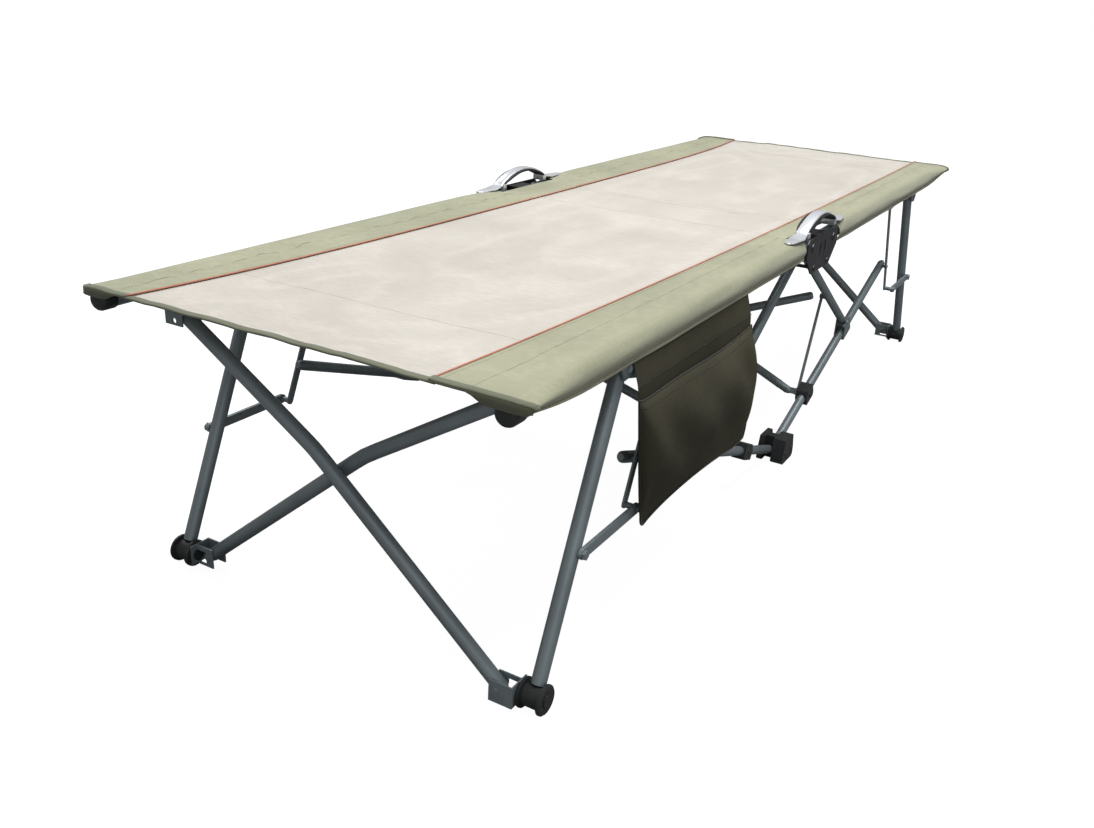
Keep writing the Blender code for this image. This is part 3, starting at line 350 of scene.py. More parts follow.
PAINT = painted("grey_powder_coat", (0.225, 0.268, 0.286), roughness=0.45, metallic=0.40)
ZINC = plated("zinc_plate", (0.092, 0.092, 0.101), roughness=0.46)
BLACK = moulded("black_plastic", (0.022, 0.024, 0.025))
SILVER = moulded("silver_plastic", (0.62, 0.64, 0.67), roughness=0.24, metallic=0.50, grain=0.06)
GRIP = moulded("black_grip", (0.010, 0.010, 0.011), roughness=0.42)

SURFACES = {
    "dark_steel": PAINT, "zinc_steel": ZINC, "black_plastic": BLACK, "grey_plastic": SILVER,
    "bed_fabric": SAGE, "pocket_fabric": POCKET,
}


# Mesh helpers
def new_object(name, data):
    """Put new data into the scene as an object."""
    thing = bpy.data.objects.new(name, data)
    bpy.context.scene.collection.objects.link(thing)
    return thing


def make_object(name, bm, material):
    """Turn a bmesh into an object in the scene, shaded smooth."""
    mesh = bpy.data.meshes.new(name)
    bm.to_mesh(mesh)
    bm.free()
    thing = new_object(name, mesh)
    mesh.materials.append(material)
    mesh.shade_smooth()
    return thing


def apply_modifiers(thing):
    """Replace the mesh by its evaluated form."""
    bpy.context.view_layer.update()
    seen = thing.evaluated_get(bpy.context.evaluated_depsgraph_get())
    result = bpy.data.meshes.new_from_object(seen)
    old = thing.data
    thing.modifiers.clear()
    thing.data = result
    bpy.data.meshes.remove(old)
    return thing


def span(start, end, count):
    """Evenly spaced values, both ends included."""
    return [start + (end - start) * i / count for i in range(count + 1)]


def fade(distance, reach):
    """Share that falls from 1 at no distance to 0 at the reach."""
    return max(0.0, 1.0 - distance / reach)


def circle(count):
    """Angles evenly spaced round a full turn."""
    return [2 * math.pi * k / count for k in range(count)]


def ruffle(point, scale, size, seed, slant=0.0):
    """Smooth wave field for folds and puckers."""
    across = (point.y + point.x * slant) * scale * 2.2
    return noise.noise(Vector((point.x * scale + seed, across, point.z * scale))) * size


def outward(points):
    """Unit normals of a grid of points, on its upper side."""
    rows, columns = len(points), len(points[0])
    normals = []
    for i in range(rows):
        line = []
        for k in range(columns):
            along = points[min(i + 1, rows - 1)][k] - points[max(i - 1, 0)][k]
            across = points[i][min(k + 1, columns - 1)] - points[i][max(k - 1, 0)]
            line.append(across.cross(along).normalized())
        normals.append(line)
    return normals


def flip_rows(rows):
    """Reverse every row, so that the grid faces the other way."""
    return [list(reversed(row)) for row in rows]


def facing_up(rows):
    """Order a grid so that its upper side is the upper one in the world too."""
    middle = outward(rows)[len(rows) // 2][0 if len(rows[0]) < 3 else 1]
    return rows if middle.z > 0 else flip_rows(rows)


def sheet_mesh(name, points, thickness, material):
    """Closed thin sheet: a grid on top, its copy below and a rim, subdivided once."""
    bm = bmesh.new()
    rows, columns = len(points), len(points[0])
    normals = outward(points)
    top = [[bm.verts.new(point) for point in row] for row in points]
    low = [[bm.verts.new(points[i][k] - normals[i][k] * thickness) for k in range(columns)]
           for i in range(rows)]
    for i in range(rows - 1):
        for k in range(columns - 1):
            bm.faces.new((top[i][k], top[i][k + 1], top[i + 1][k + 1], top[i + 1][k]))
            bm.faces.new((low[i][k], low[i + 1][k], low[i + 1][k + 1], low[i][k + 1]))
    rim = [(i, 0) for i in range(rows)]
    rim += [(rows - 1, k) for k in range(1, columns)]
    rim += [(i, columns - 1) for i in range(rows - 2, -1, -1)]
    rim += [(0, k) for k in range(columns - 2, 0, -1)]
    for (i, k), (j, m) in zip(rim, rim[1:] + rim[:1]):
        bm.faces.new((top[i][k], low[i][k], low[j][m], top[j][m]))
    bmesh.ops.recalc_face_normals(bm, faces=bm.faces)
    thing = make_object(name, bm, material)
    smooth = thing.modifiers.new("smooth", "SUBSURF")
    smooth.levels = smooth.render_levels = 1
    return apply_modifiers(thing)


def loft(name, rings, material):
    """Closed skin over rings of points, capped at both ends."""
    bm = bmesh.new()
    loops = [[bm.verts.new(point) for point in ring] for ring in rings]
    for a, b in zip(loops, loops[1:]):
        for k in range(len(a)):
            n = (k + 1) % len(a)
            bm.faces.new((a[k], a[n], b[n], b[k]))
    bm.faces.new(loops[0])
    bm.faces.new(loops[-1])
    bmesh.ops.recalc_face_normals(bm, faces=bm.faces)
    return make_object(name, bm, material)


def cord_mesh(name, path, radius, material):
    """Round cord along a list of points."""
    rings = []
    first = None
    for i, centre in enumerate(path):
        along = (path[min(i + 1, len(path) - 1)] - path[max(i - 1, 0)]).normalized()
        if first is None:
            first = along.cross(Vector((0, 0, 1))).normalized()
        first = (first - along * first.dot(along)).normalized()
        second = along.cross(first)
        rings.append([centre + first * (radius * math.cos(angle))
                      + second * (radius * math.sin(angle)) for angle in circle(CORD_SIDES)])
    return loft(name, rings, material)


def stitch_ring(base, side, up, size):
    """Four corners of a cut through a stitch."""
    wide, crown = side * STITCH_HALF * size, side * STITCH_HALF * STITCH_CROWN * size
    sunk, proud = up * (-STITCH_SUNK), up * STITCH_PROUD * size
    return base + wide + sunk, base + crown + proud, base - crown + proud, base - wide + sunk


def stitches(name, lines, material):
    """Rows of thread stitches: one small rounded bar for each stitch.

    Each line is a list of (point, normal) pairs along the seam.
    """
    bm = bmesh.new()
    for line in lines:
        carry = 0.0
        for (start, up), (end, _) in zip(line, line[1:]):
            length = (end - start).length
            if length < 1e-6:
                continue
            along = (end - start) / length
            side = along.cross(up).normalized()
            at = carry
            while at < length:
                centre = start + along * at
                rings = []
                for place, size in STITCH_FORM:
                    base = centre + along * (place * STITCH_LENGTH)
                    rings.append([bm.verts.new(p) for p in stitch_ring(base, side, up, size)])
                for a, b in zip(rings, rings[1:]):
                    for k in range(4):
                        n = (k + 1) % 4
                        bm.faces.new((a[k], b[k], b[n], a[n]))
                bm.faces.new(rings[0])
                bm.faces.new(rings[-1][::-1])
                at += STITCH_PITCH
            carry = at - length
    bmesh.ops.recalc_face_normals(bm, faces=bm.faces)
    return make_object(name, bm, material)


# Cloth top
def seam(x, side):
    """Distance of a panel seam from the centre line."""
    if side == NEAR:
        return NEAR_SEAM - NEAR_BOW * ((BED_HALF - x) / (2 * BED_HALF)) ** 3
    return FAR_SEAM + FAR_SLANT * x + FAR_BOW * (x / BED_HALF) ** 4


def top_height(w, x=0.0):
    """Height of the cloth between the rails."""
    sag = SAG * (1.0 - min(abs(x) / BED_HALF, 1.0) ** 6)
    return RAIL_Z + SLEEVE - sag * (1.0 - min(abs(w) / RAIL_W, 1.0) ** 2) + sag * SAG_RISE


def panel_tuck(edge):
    """Depth of the panel under the bands, at a distance from its edge."""
    return PANEL_TUCK * min(max((TUCK_REACH - edge) / TUCK_SLOPE, 0.0), 1.0)


def panel_points(xs, seed):
    """Grid of the flat part of the cloth, from under the near band to under the far one."""
    rows = []
    for x in xs:
        low, high = -seam(x, NEAR) - PANEL_LAP, seam(x, FAR) + PANEL_LAP
        hem = fade(BED_HALF - abs(x), END_PULL)
        row = []
        for w in span(low, high, count=34):
            p = Vector((x, MIDDLE_Y + w, top_height(w, x)))
            edge = min(w - low, high - w)
            calm = min(edge / CALM_EDGE, 1.0) * min((abs(x) - FOLD_X) / CALM_FOLD, 1.0)
            pull = ruffle(p, scale=4.0, size=0.0016, seed=seed)
            pull += ruffle(p, scale=11.0, size=0.0007, seed=seed + 7.0, slant=0.3)
            pull += ruffle(p, scale=16.0, size=0.0016, seed=seed + 3.0) * hem
            p.z += pull * calm - panel_tuck(edge)
            row.append(p)
        rows.append(row)
    return rows


def flatten(w, z, x, side):
    """Press a point of the sleeve flat towards the end of the bed, and round the corner."""
    share = max(0.0, (abs(x) - FLAT_FROM) / (BED_HALF - FLAT_FROM)) ** FLAT_EASE
    crown = RAIL_Z + SLEEVE
    full = SLEEVE * (1.0 + math.sin(math.radians(HEM_ANGLE))) + HEM_STRIP
    flat_w = RAIL_W + (w - RAIL_W) * (FLAT_SPREAD if w > RAIL_W else 1.0)
    flat_z = crown - (crown - z) * FLAT_LAYERS / full if w > RAIL_W else z
    pressed_w = w + (flat_w - w) * share
    out = max(0.0, (pressed_w - RAIL_W - CORNER_FROM) / CORNER_WIDTH)
    pull = CORNER_CUT[side] * out ** 2
    pull *= max(0.0, (abs(x) - BED_HALF + CORNER_LENGTH) / CORNER_LENGTH)
    return Vector((x - math.copysign(pull, x), MIDDLE_Y + side * pressed_w,
                   z + (flat_z - z) * share))


def band_profile(x, side):
    """Line across a side band: flat, round the rail and down to the stitched hem strip."""
    points = []
    inner = seam(x, side)
    seed = BAND_SEED[side]
    from_notch = abs(x) - NOTCH_X
    calm = min((BED_HALF - abs(x)) / RIPPLE_CALM, 1.0)
    gather = GATHER * fade(from_notch, GATHER_REACH) if side == NEAR else 0.0
    ripple = RIPPLE[side] * (0.25 + 0.75 * calm + gather)
    puff = calm * (NEAR_PUFF if side == NEAR else FAR_PUFF * min(from_notch / PUFF_REACH, 1.0))
    for w in span(inner, RAIL_W, BAND_COLUMNS)[:-1]:
        p = Vector((x, MIDDLE_Y + side * w, top_height(w, x)))
        free = min((w - inner) / RIPPLE_SEAM, (RAIL_W - w) / RIPPLE_RAIL, 1.0)
        p.z += puff * ((w - inner) / (RAIL_W - inner)) ** 2
        p.z += (ruffle(p, scale=13.0, size=ripple, seed=seed, slant=1.6 * side)
                + ruffle(p, scale=31.0, size=ripple * 0.35, seed=seed)) * free
        p.z += SEAM_RIDGE * fade(w - inner, RIDGE_WIDTH)
        points.append(flatten(w, p.z, x, side))

    for k in range(SLEEVE_STEPS + 1):
        angle = math.radians(90.0 - (90.0 + HEM_ANGLE) * k / SLEEVE_STEPS)
        full = ruffle(Vector((x, side * k * 0.02, 0.0)), scale=9.0, size=0.0016, seed=seed)
        swell = SLEEVE + full * math.sin(math.pi * k / (SLEEVE_STEPS + 1))
        z = RAIL_Z + swell * math.sin(angle) + puff * max(math.sin(angle), 0.0)
        points.append(flatten(RAIL_W + swell * math.cos(angle), z, x, side))

    w = RAIL_W + SLEEVE * math.cos(math.radians(HEM_ANGLE))
    z = RAIL_Z - SLEEVE * math.sin(math.radians(HEM_ANGLE))
    sway = ruffle(Vector((x, side * 0.3, 0.0)), scale=14.0, size=0.0012, seed=seed)
    for out, down in ((0.0004, 0.0010), (0.0006 + sway * 0.5, 0.0036), (0.0004 + sway, HEM_STRIP),
                      (-0.0016 + sway, HEM_STRIP + 0.0004), (-0.0024, HEM_STRIP - 0.0010),
                      (-0.0026, 0.0)):
        points.append(flatten(w + out, z - down, x, side))
    return points


def end_tape(name, edge):
    """Binding tape folded over an end: a flat loop swept along the last row of points."""
    direction = math.copysign(1.0, edge[0].x)
    inner, outer = -direction * TAPE_WIDTH, direction * TAPE_PROUD
    rings = []
    last = None
    for k, p in enumerate(edge):
        tangent = (edge[min(k + 1, len(edge) - 1)] - edge[max(k - 1, 0)]).normalized()
        up = tangent.cross(Vector((direction, 0, 0))).normalized()
        turned = up.z < -0.2 if last is None else up.dot(last) < 0
        if turned:
            up = -up
        last = up
        wobble = 0.0005 * noise.noise(Vector((p.y * 40.0, p.x, p.z * 40.0)))
        lift, drop = TAPE_THICK + wobble, -(CLOTH + TAPE_THICK)
        loop = ((inner, lift * 0.4), (inner * 0.92, lift), (outer * 0.2, lift * 1.1),
                (outer, lift * 0.2), (outer, drop * 0.6), (outer * 0.2, drop),
                (inner * 0.92, drop), (inner, drop * 0.75))
        rings.append([p + Vector((along, 0, 0)) + up * height for along, height in loop])
    return loft(name, rings, TAPE)


def end_curtain(name, edge, side):
    """Hem at the end of a band, turned down in front of the rail's end."""
    from_seam = abs(edge[0].y - MIDDLE_Y) < abs(edge[-1].y - MIDDLE_Y)
    order = edge if from_seam else edge[::-1]
    direction = math.copysign(1.0, edge[0].x)
    rings = []
    for p in order[:CURTAIN_COLUMNS]:
        w = side * (p.y - MIDDLE_Y)
        start = min(max((w - RAIL_W + CURTAIN_FROM) / (CURTAIN_FROM - SLEEVE), 0.0), 1.0)
        low = RAIL_Z + SLEEVE - CURTAIN_DROP * start * start * (3.0 - 2.0 * start)
        wobble = 0.0008 * noise.noise(Vector((p.y * 30.0, p.x, 2.0)))
        drop = max(CURTAIN_LEAST, p.z - low + wobble)
        top = p.z + TAPE_THICK * 0.8
        loop = ((0.0002, 0.0), (0.0014, -0.0003), (0.0020, -0.0014), (0.0020, -drop),
                (0.0012, -drop - 0.0006), (0.0002, -drop))
        rings.append([(p.x + direction * out, p.y, top + down) for out, down in loop])
    return loft(name, rings, TAPE)


def line_on(rows, column):
    """Seam line along the bed on one column of a grid, with normals."""
    normals = outward(rows)
    return [(rows[i][column], normals[i][column]) for i in range(len(rows))]


def line_across(rows, x_seam):
    """Seam line across the panel, this far from the bed's middle, with normals."""
    normals = outward(rows)
    index = min(range(len(rows)), key=lambda i: abs(abs(rows[i][0].x) - x_seam))
    over = Vector((0, 0, 0.0001))
    return [(point + over, up) for point, up in zip(rows[index], normals[index])]


def settle(thing, body):
    """Give a piece that crosses the bed its body, and a mesh of its own."""
    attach(thing, body)
    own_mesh(thing)


def bed_half(end, end_name):
    """One half of the cloth top, from the fold to the end of the bed."""
    xs = [end * x for x in span(FOLD_X + FOLD_GAP, BED_HALF - END_GAP, count=60)]
    centre = facing_up(panel_points(xs, seed=2.0 + end))
    panel = sheet_mesh(f"centre_panel_{end_name}", centre, CLOTH, BEIGE)
    tape = end_tape(f"end_tape_centre_{end_name}", centre[-1])
    lines = [line_across(centre, CROSS_SEAM[end]), line_across(centre, FOLD_X + FOLD_SEAM)]
    sewn = stitches(f"cross_stitches_{end_name}", lines, PALE_THREAD)
    for thing in (panel, tape, sewn):
        settle(thing, f"near_{end_name}_rail")
    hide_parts(f"bed_cloth_{end_name}")
    for side, side_name in SIDES:
        side_band(end, side, f"{side_name}_{end_name}")


def side_band(end, side, tag):
    """Band along one side of a half: sleeve, tab beside the handle, piping and stitches."""
    band_xs = [end * x for x in span(NOTCH_X, BED_HALF - END_GAP, count=120)]
    rows = facing_up([band_profile(x, side) for x in band_xs])
    band = sheet_mesh(f"side_band_{tag}", rows, CLOTH, SAGE)
    tape = end_tape(f"end_tape_{tag}", rows[-1])
    curtain = end_curtain(f"end_curtain_{tag}", rows[-1], side)

    tab_xs = [end * x for x in span(FOLD_X + FOLD_GAP, NOTCH_X + TAB_LAP, count=8)]
    strip = facing_up([[Vector((x, MIDDLE_Y + side * w, top_height(w, x) - STRIP_SINK))
                        for w in span(seam(x, side), NOTCH_W, count=4)] for x in tab_xs])
    tab = sheet_mesh(f"band_tab_{tag}", strip, CLOTH * 0.8, SAGE)

    seam_xs = [end * x for x in span(FOLD_X + FOLD_GAP, BED_HALF - END_GAP, count=130)]
    cord = [Vector((x, MIDDLE_Y + side * seam(x, side),
                    top_height(seam(x, side), x) + PIPING_LIFT)) for x in seam_xs]
    piping = cord_mesh(f"piping_{tag}", cord, PIPING, CORAL)

    from_seam = abs(rows[0][0].y - MIDDLE_Y) < abs(rows[0][-1].y - MIDDLE_Y)
    columns = [c if from_seam else len(rows[0]) - 1 - c for c in SEWN_COLUMNS]
    sewn = stitches(f"band_stitches_{tag}", [line_on(rows, c) for c in columns], THREAD)

    for thing in (band, tape, curtain, tab, piping, sewn):
        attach(thing, f"{tag}_rail")


def fold_strip():
    """Strip of cloth over the fold, held by the two brackets."""
    reach = FOLD_X + STRIP_LAP
    near, far = seam(0.0, NEAR), seam(0.0, FAR)
    for name, low, high, surface, body in (
            ("fold_strip_near", -NOTCH_W, -near, SAGE, "near_hub"),
            ("fold_strip_centre", -near - PANEL_LAP, far + PANEL_LAP, BEIGE, "near_hub"),
            ("fold_strip_far", far, NOTCH_W, SAGE, "far_hub")):
        rows = []
        for x in span(-reach, reach, count=14):
            tuck = STRIP_TUCK if abs(x) > FOLD_X - FOLD_GAP else STRIP_SINK
            row = []
            for w in span(low, high, count=24):
                edge = panel_tuck(min(w - low, high - w)) if surface is BEIGE else 0.0
                row.append(Vector((x, MIDDLE_Y + w, top_height(w) - tuck - edge)))
            rows.append(row)
        strip = sheet_mesh(name, facing_up(rows), CLOTH, surface)
        if surface is BEIGE:
            settle(strip, body)
        else:
            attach(strip, body)
    for side, side_name in SIDES:
        cord = [Vector((x, MIDDLE_Y + side * seam(x, side),
                        top_height(seam(x, side)) + FOLD_PIPING_LIFT))
                for x in span(-FOLD_X - PIPING_LAP, FOLD_X + PIPING_LAP, count=10)]
        piping = cord_mesh(f"piping_{side_name}_fold", cord, PIPING, CORAL)
        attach(piping, f"{side_name}_hub")


# Side pocket
POCKET_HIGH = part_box("side_pocket")[1]
POCKET_BACK_Y = POCKET_HIGH.y - 0.0003
POCKET_TOP = POCKET_HIGH.z
POCKET_TALL = 0.232
POCKET_MIDDLE = -0.520         # place of its upper edge along the bed
POCKET_SLANT = 0.042           # its bottom lies this far to the right of that
POCKET_HALF = 0.182            # half of its width
POCKET_WALL = 0.0015
POCKET_MOUTH = 0.195           # level of the front's upper edge, from 0 at the top to 1
POCKET_HEADER = 0.11           # share of the height that tucks in behind the hem strip
HEADER_LIFT = 0.0055           # its way up and inward there
HEADER_TUCK = 0.0075
POCKET_BELLY = 0.021           # how far the front stands out
POCKET_FOLD = 0.0055           # depth of its wide folds
POCKET_CREASE = 0.0030         # of its slanting creases
POCKET_RUMPLE = 0.0060         # and of its rumples
POCKET_DROOP = 0.005           # dip of the mouth's middle
POCKET_CORNERS = (0.022, 0.034)   # rise of its lower corners, left and right
POCKET_CORNER_FROM = 0.80      # it begins here, where 1 is the side edge
POCKET_CORNER_SPAN = 0.20      # and is whole after this much
MOUTH_TAPE = 0.0010            # radius of the tape along the mouth
RIM_TAPE = 0.0016              # and of the tape round the front's other edges
TAPE_OUT = 0.0004              # both stand this far out of the cloth
POCKET_HEM_LIFT = 0.013        # rise of the bottom edge, left of its middle


def pocket_depth(level, across):
    """How far the front stands out, at a level and at a place from -1 to 1 across it."""
    rise = min(max(level - POCKET_MOUTH, 0.0) / (1.0 - POCKET_MOUTH), 1.0)
    belly = POCKET_BELLY * math.sin(math.pi * rise ** 0.8) ** 0.9 + 0.0012
    fold = POCKET_FOLD * math.sin(6.5 * across + 3.4 * level + 0.2) * min(rise * 2.2, 1.0)
    crease = POCKET_CREASE * math.sin(12.0 * across - 9.0 * level + 1.2)
    crease += POCKET_RUMPLE * noise.noise(Vector((across * 2.8, level * 2.6, 4.0)))
    crease *= min(rise * 3.0, 1.0)
    sides = max(0.0, 1.0 - abs(across) ** 4)
    bottom = 1.0 - level ** 8
    return max(0.0, belly + (fold + crease) * 0.8) * sides ** 0.7 * bottom + 0.0006


def pocket_point(share, across, front):
    """Point of the front or the back, at a share of that sheet's height."""
    mouth = POCKET_MOUTH if front else 0.0
    level = mouth + (1.0 - mouth) * share
    depth = pocket_depth(level, across) if front else 0.0
    middle = POCKET_MIDDLE + POCKET_SLANT * level
    x = middle + POCKET_HALF * math.sin(across * math.pi / 2 * 0.98) / 0.9995
    dip = (POCKET_DROOP * (1.0 - across ** 2) + 0.0015 * math.sin(6.0 * across)) * (1.0 - share)
    corner = POCKET_CORNERS[0 if across < 0 else 1]
    past = max(0.0, abs(across) - POCKET_CORNER_FROM) / POCKET_CORNER_SPAN
    corner *= past ** 1.8 * level ** 6
    lift = POCKET_HEM_LIFT * math.sin(math.pi * min((across + 1.0) / 1.5, 1.0)) * level ** 4
    tuck = fade(level, POCKET_HEADER)
    z = POCKET_TOP - POCKET_TALL * level - (dip if front else 0.0) + corner + lift
    y = POCKET_BACK_Y - POCKET_WALL - depth + HEADER_TUCK * tuck ** 0.8
    return Vector((x, y, z + HEADER_LIFT * tuck))


def pocket_sheet(name, front, columns, levels):
    """One cloth sheet of the pocket from its upper edge to the bottom."""
    rows = [[pocket_point(share, across, front) for across in span(-1.0, 1.0, columns)]
            for share in span(0.0, 1.0, levels)]
    if outward(rows)[0][columns // 2].y > 0:
        rows = flip_rows(rows)
    made = sheet_mesh(name, rows, POCKET_WALL * 0.6, POCKET)
    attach(made, "near_left_rail")
    return made, rows, outward(rows)


def side_pocket():
    """Hanging pouch: flat back, bellied front with folds, taped edges and stitching."""
    back, back_rows, back_normals = pocket_sheet("pocket_back", False, columns=40, levels=24)
    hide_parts("side_pocket")
    front, rows, normals = pocket_sheet("pocket_front", True, columns=72, levels=40)

    edge = [p + n * TAPE_OUT for p, n in zip(rows[0], normals[0])]
    hem = cord_mesh("pocket_mouth_tape", edge, MOUTH_TAPE, POCKET_EDGE)
    outline = [row[0] for row in rows] + rows[-1][1:] + [row[-1] for row in reversed(rows[:-1])]
    rim = cord_mesh("pocket_edge_tape", [p + Vector((0, -TAPE_OUT, 0)) for p in outline],
                    RIM_TAPE, POCKET_EDGE)
    lines = [[(p + n * 0.0002, n) for p, n in zip(points, ups)]
             for points, ups in ((back_rows[3], back_normals[3]), (rows[2], normals[2]))]
    sewn = stitches("pocket_stitches", lines, DARK_THREAD)
    for thing in (hem, rim, sewn):
        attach(thing, "near_left_rail")


# Carrying handles
HANDLE_HALF = 0.145            # from the middle to the tip of a tail
HANDLE_FOOT = 0.078            # from the middle to the foot of the arch
HANDLE_RISE = 0.0225           # height of the arch
HANDLE_WIDTH = 0.030           # width of a tail where it starts
HANDLE_SEAT = 0.0024           # its underside lies this far over the frame's own seat
HANDLE_STEPS = 96
SHELL_SIDES = 20
SHELL_TALL = 0.0046
SHELL_ABOVE = 0.68             # share of it above the widest place
SHELL_BELOW = 0.32
SHELL_LIFT = 0.0034            # shell of the arch lies this far over the underside
ARCH_SHARE = 0.64              # the arch's width, as a share of the tail's
TAIL_EASE = 3.0                # the arch becomes the tail over a third of its length
TAIL_TAPER = 0.55              # a tail's width loses this share by the tip
TIP_LENGTH = 0.004             # its very end is narrower
TIP_SHARE = 0.55
GRIP_HALF = 0.080              # from the middle to the grip's end
GRIP_WIDTH = 0.0148            # half of its width
GRIP_DEPTH = 0.0038
GRIP_LIFT = 0.0038             # its flat top lies this far over the underside
GRIP_END = 0.3                 # its end is this share of its size
RIB = 0.00045                  # height of a rib on the grip
RIB_PITCH = 0.0068
POST_X = 0.071                 # posts under the feet of the arch
POST_LONG = 0.010
POST_WIDE = 0.024
POST_MEETS = 0.068             # they reach up to the arch's height here
POST_SINK = 0.002              # and this far into it
POST_ROUND = 0.0012            # rounding of their edges


def handle_under(x, seat):
    """Height of the handle's underside."""
    reach = min(abs(x) / HANDLE_FOOT, 1.0)
    return seat + HANDLE_SEAT + HANDLE_RISE * math.cos(reach * math.pi / 2) ** 0.8


def handle_shell(name, middle, seat):
    """Arch with a tapering tail at each end."""
    rings = []
    for x in span(-HANDLE_HALF, HANDLE_HALF, HANDLE_STEPS):
        tail = max(0.0, abs(x) - HANDLE_FOOT) / (HANDLE_HALF - HANDLE_FOOT)
        taper = 1.0 - TAIL_TAPER * tail ** 1.3
        tip = 1.0 if abs(x) < HANDLE_HALF - TIP_LENGTH else TIP_SHARE
        broad = ARCH_SHARE + (1.0 - ARCH_SHARE) * min(tail * TAIL_EASE, 1.0)
        half = HANDLE_WIDTH / 2 * taper * tip * broad
        tall = SHELL_TALL * (0.45 + 0.55 * taper) * (1.0 if tail <= 0 else 0.8)
        under = handle_under(x, seat) + SHELL_LIFT * max(0.0, 1.0 - tail * TAIL_EASE)
        ring = []
        for angle in circle(SHELL_SIDES):
            c, s = math.cos(angle), math.sin(angle)
            share = SHELL_ABOVE if s > 0 else SHELL_BELOW
            ring.append((x, middle + half * math.copysign(abs(c) ** 0.55, c),
                         under + tall * SHELL_BELOW
                         + tall * share * math.copysign(abs(s) ** 0.8, s)))
        rings.append(ring)
    return loft(name, rings, SILVER)


def handle_grip(name, middle, seat):
    """Ribbed half-round grip under the arch."""
    rings = []
    for x in span(-GRIP_HALF, GRIP_HALF, HANDLE_STEPS):
        rib = RIB * math.cos(2 * math.pi * x / RIB_PITCH)
        end_round = math.sqrt(max(0.0, 1.0 - (abs(x) / GRIP_HALF) ** 8))
        size = max(end_round, GRIP_END)
        half = GRIP_WIDTH * size + rib * 0.4
        depth = (GRIP_DEPTH + rib) * size
        top = handle_under(x, seat) + GRIP_LIFT
        rings.append([(x, middle + half * math.cos(angle), top - depth * math.sin(angle) ** 0.6)
                      for angle in (math.pi * k / 11 for k in range(12))])
    return loft(name, rings, GRIP)


def handle_posts(name, middle, seat):
    """Two rounded blocks that carry the arch's feet."""
    bm = bmesh.new()
    top = handle_under(POST_MEETS, seat) + POST_SINK
    size = Matrix.Diagonal((POST_LONG, POST_WIDE, top - seat, 1.0))
    for end in (LEFT, RIGHT):
        made = bmesh.ops.create_cube(bm, size=1.0)
        place = Matrix.Translation((end * POST_X, middle, (seat + top) / 2))
        bmesh.ops.transform(bm, verts=made["verts"], matrix=place @ size)
    posts = make_object(name, bm, SILVER)
    soften = posts.modifiers.new("round", "BEVEL")
    soften.width = POST_ROUND
    soften.segments = 3
    return apply_modifiers(posts)


def carry_handle(side, side_name):
    """Moulded handle: silver shell, dark ribbed grip and two posts."""
    node = f"carry_handle_{side_name}"
    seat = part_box(node)[0].z
    middle = MIDDLE_Y + side * RAIL_W
    shell = handle_shell(f"handle_shell_{side_name}", middle, seat)
    grip = handle_grip(f"handle_grip_{side_name}", middle, seat)
    posts = handle_posts(f"handle_posts_{side_name}", middle, seat)
    for thing, slot in ((shell, "grey_plastic"), (grip, "black_plastic"), (posts, "grey_plastic")):
        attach(thing, f"{side_name}_hub")
    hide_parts(node)


# Frame
SHARP_ANGLE = 36               # sharper edges keep a crease
WELD_REACH = 0.00002


def rail_plug(side, end, tag):
    """Rounded plastic plug over the open end of a rail."""
    radius = PLUG_RADIUS + PLUG_PROUD
    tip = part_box(f"side_rail_{tag}")[0 if end == LEFT else 1].x + end * PLUG_PROUD
    centre = Vector((tip, MIDDLE_Y + side * RAIL_W, RAIL_Z))
    rings = []
    for back, inset in PLUG_PROFILE:
        size = radius - inset
        rings.append([centre + Vector((-end * back, size * math.cos(angle),
                                       size * math.sin(angle))) for angle in circle(PLUG_SIDES)])
    plug = loft(f"rail_plug_{tag}", rings, BLACK)
    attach(plug, f"{tag}_rail")


def smooth_by_angle():
    """Geometry nodes that shade smooth except over sharp edges."""
    tree = bpy.data.node_groups.new("smooth_by_angle", "GeometryNodeTree")
    tree.interface.new_socket("Geometry", in_out="INPUT", socket_type="NodeSocketGeometry")
    tree.interface.new_socket("Geometry", in_out="OUTPUT", socket_type="NodeSocketGeometry")
    start, end = add(tree, "NodeGroupInput"), add(tree, "NodeGroupOutput")
    faces = add(tree, "GeometryNodeSetShadeSmooth")
    edges = add(tree, "GeometryNodeSetShadeSmooth", domain="EDGE")
    set_inputs(edges, {"Shade Smooth": False})
    angle = add(tree, "GeometryNodeInputMeshEdgeAngle")
    sharp = add(tree, "FunctionNodeCompare")
    sharp.inputs[1].default_value = math.radians(SHARP_ANGLE)
    tree.links.new(start.outputs[0], faces.inputs[0])
    tree.links.new(faces.outputs[0], edges.inputs[0])
    tree.links.new(angle.outputs["Unsigned Angle"], sharp.inputs[0])
    tree.links.new(sharp.outputs[0], edges.inputs["Selection"])
    tree.links.new(edges.outputs[0], end.inputs[0])
    return tree


def dress_frame():
    """Give every solid of the frame its surface and soft shading."""
    smooth = smooth_by_angle()
    slots = {row["node"]: row["material_slot"] for row in frame["record"]["subparts"]}
    for name, node in frame["nodes"].items():
        node.data.materials.clear()
        node.data.materials.append(SURFACES[slots[name]])
        node.modifiers.new("weld", "WELD").merge_threshold = WELD_REACH
        node.modifiers.new("shade", "NODES").node_group = smooth


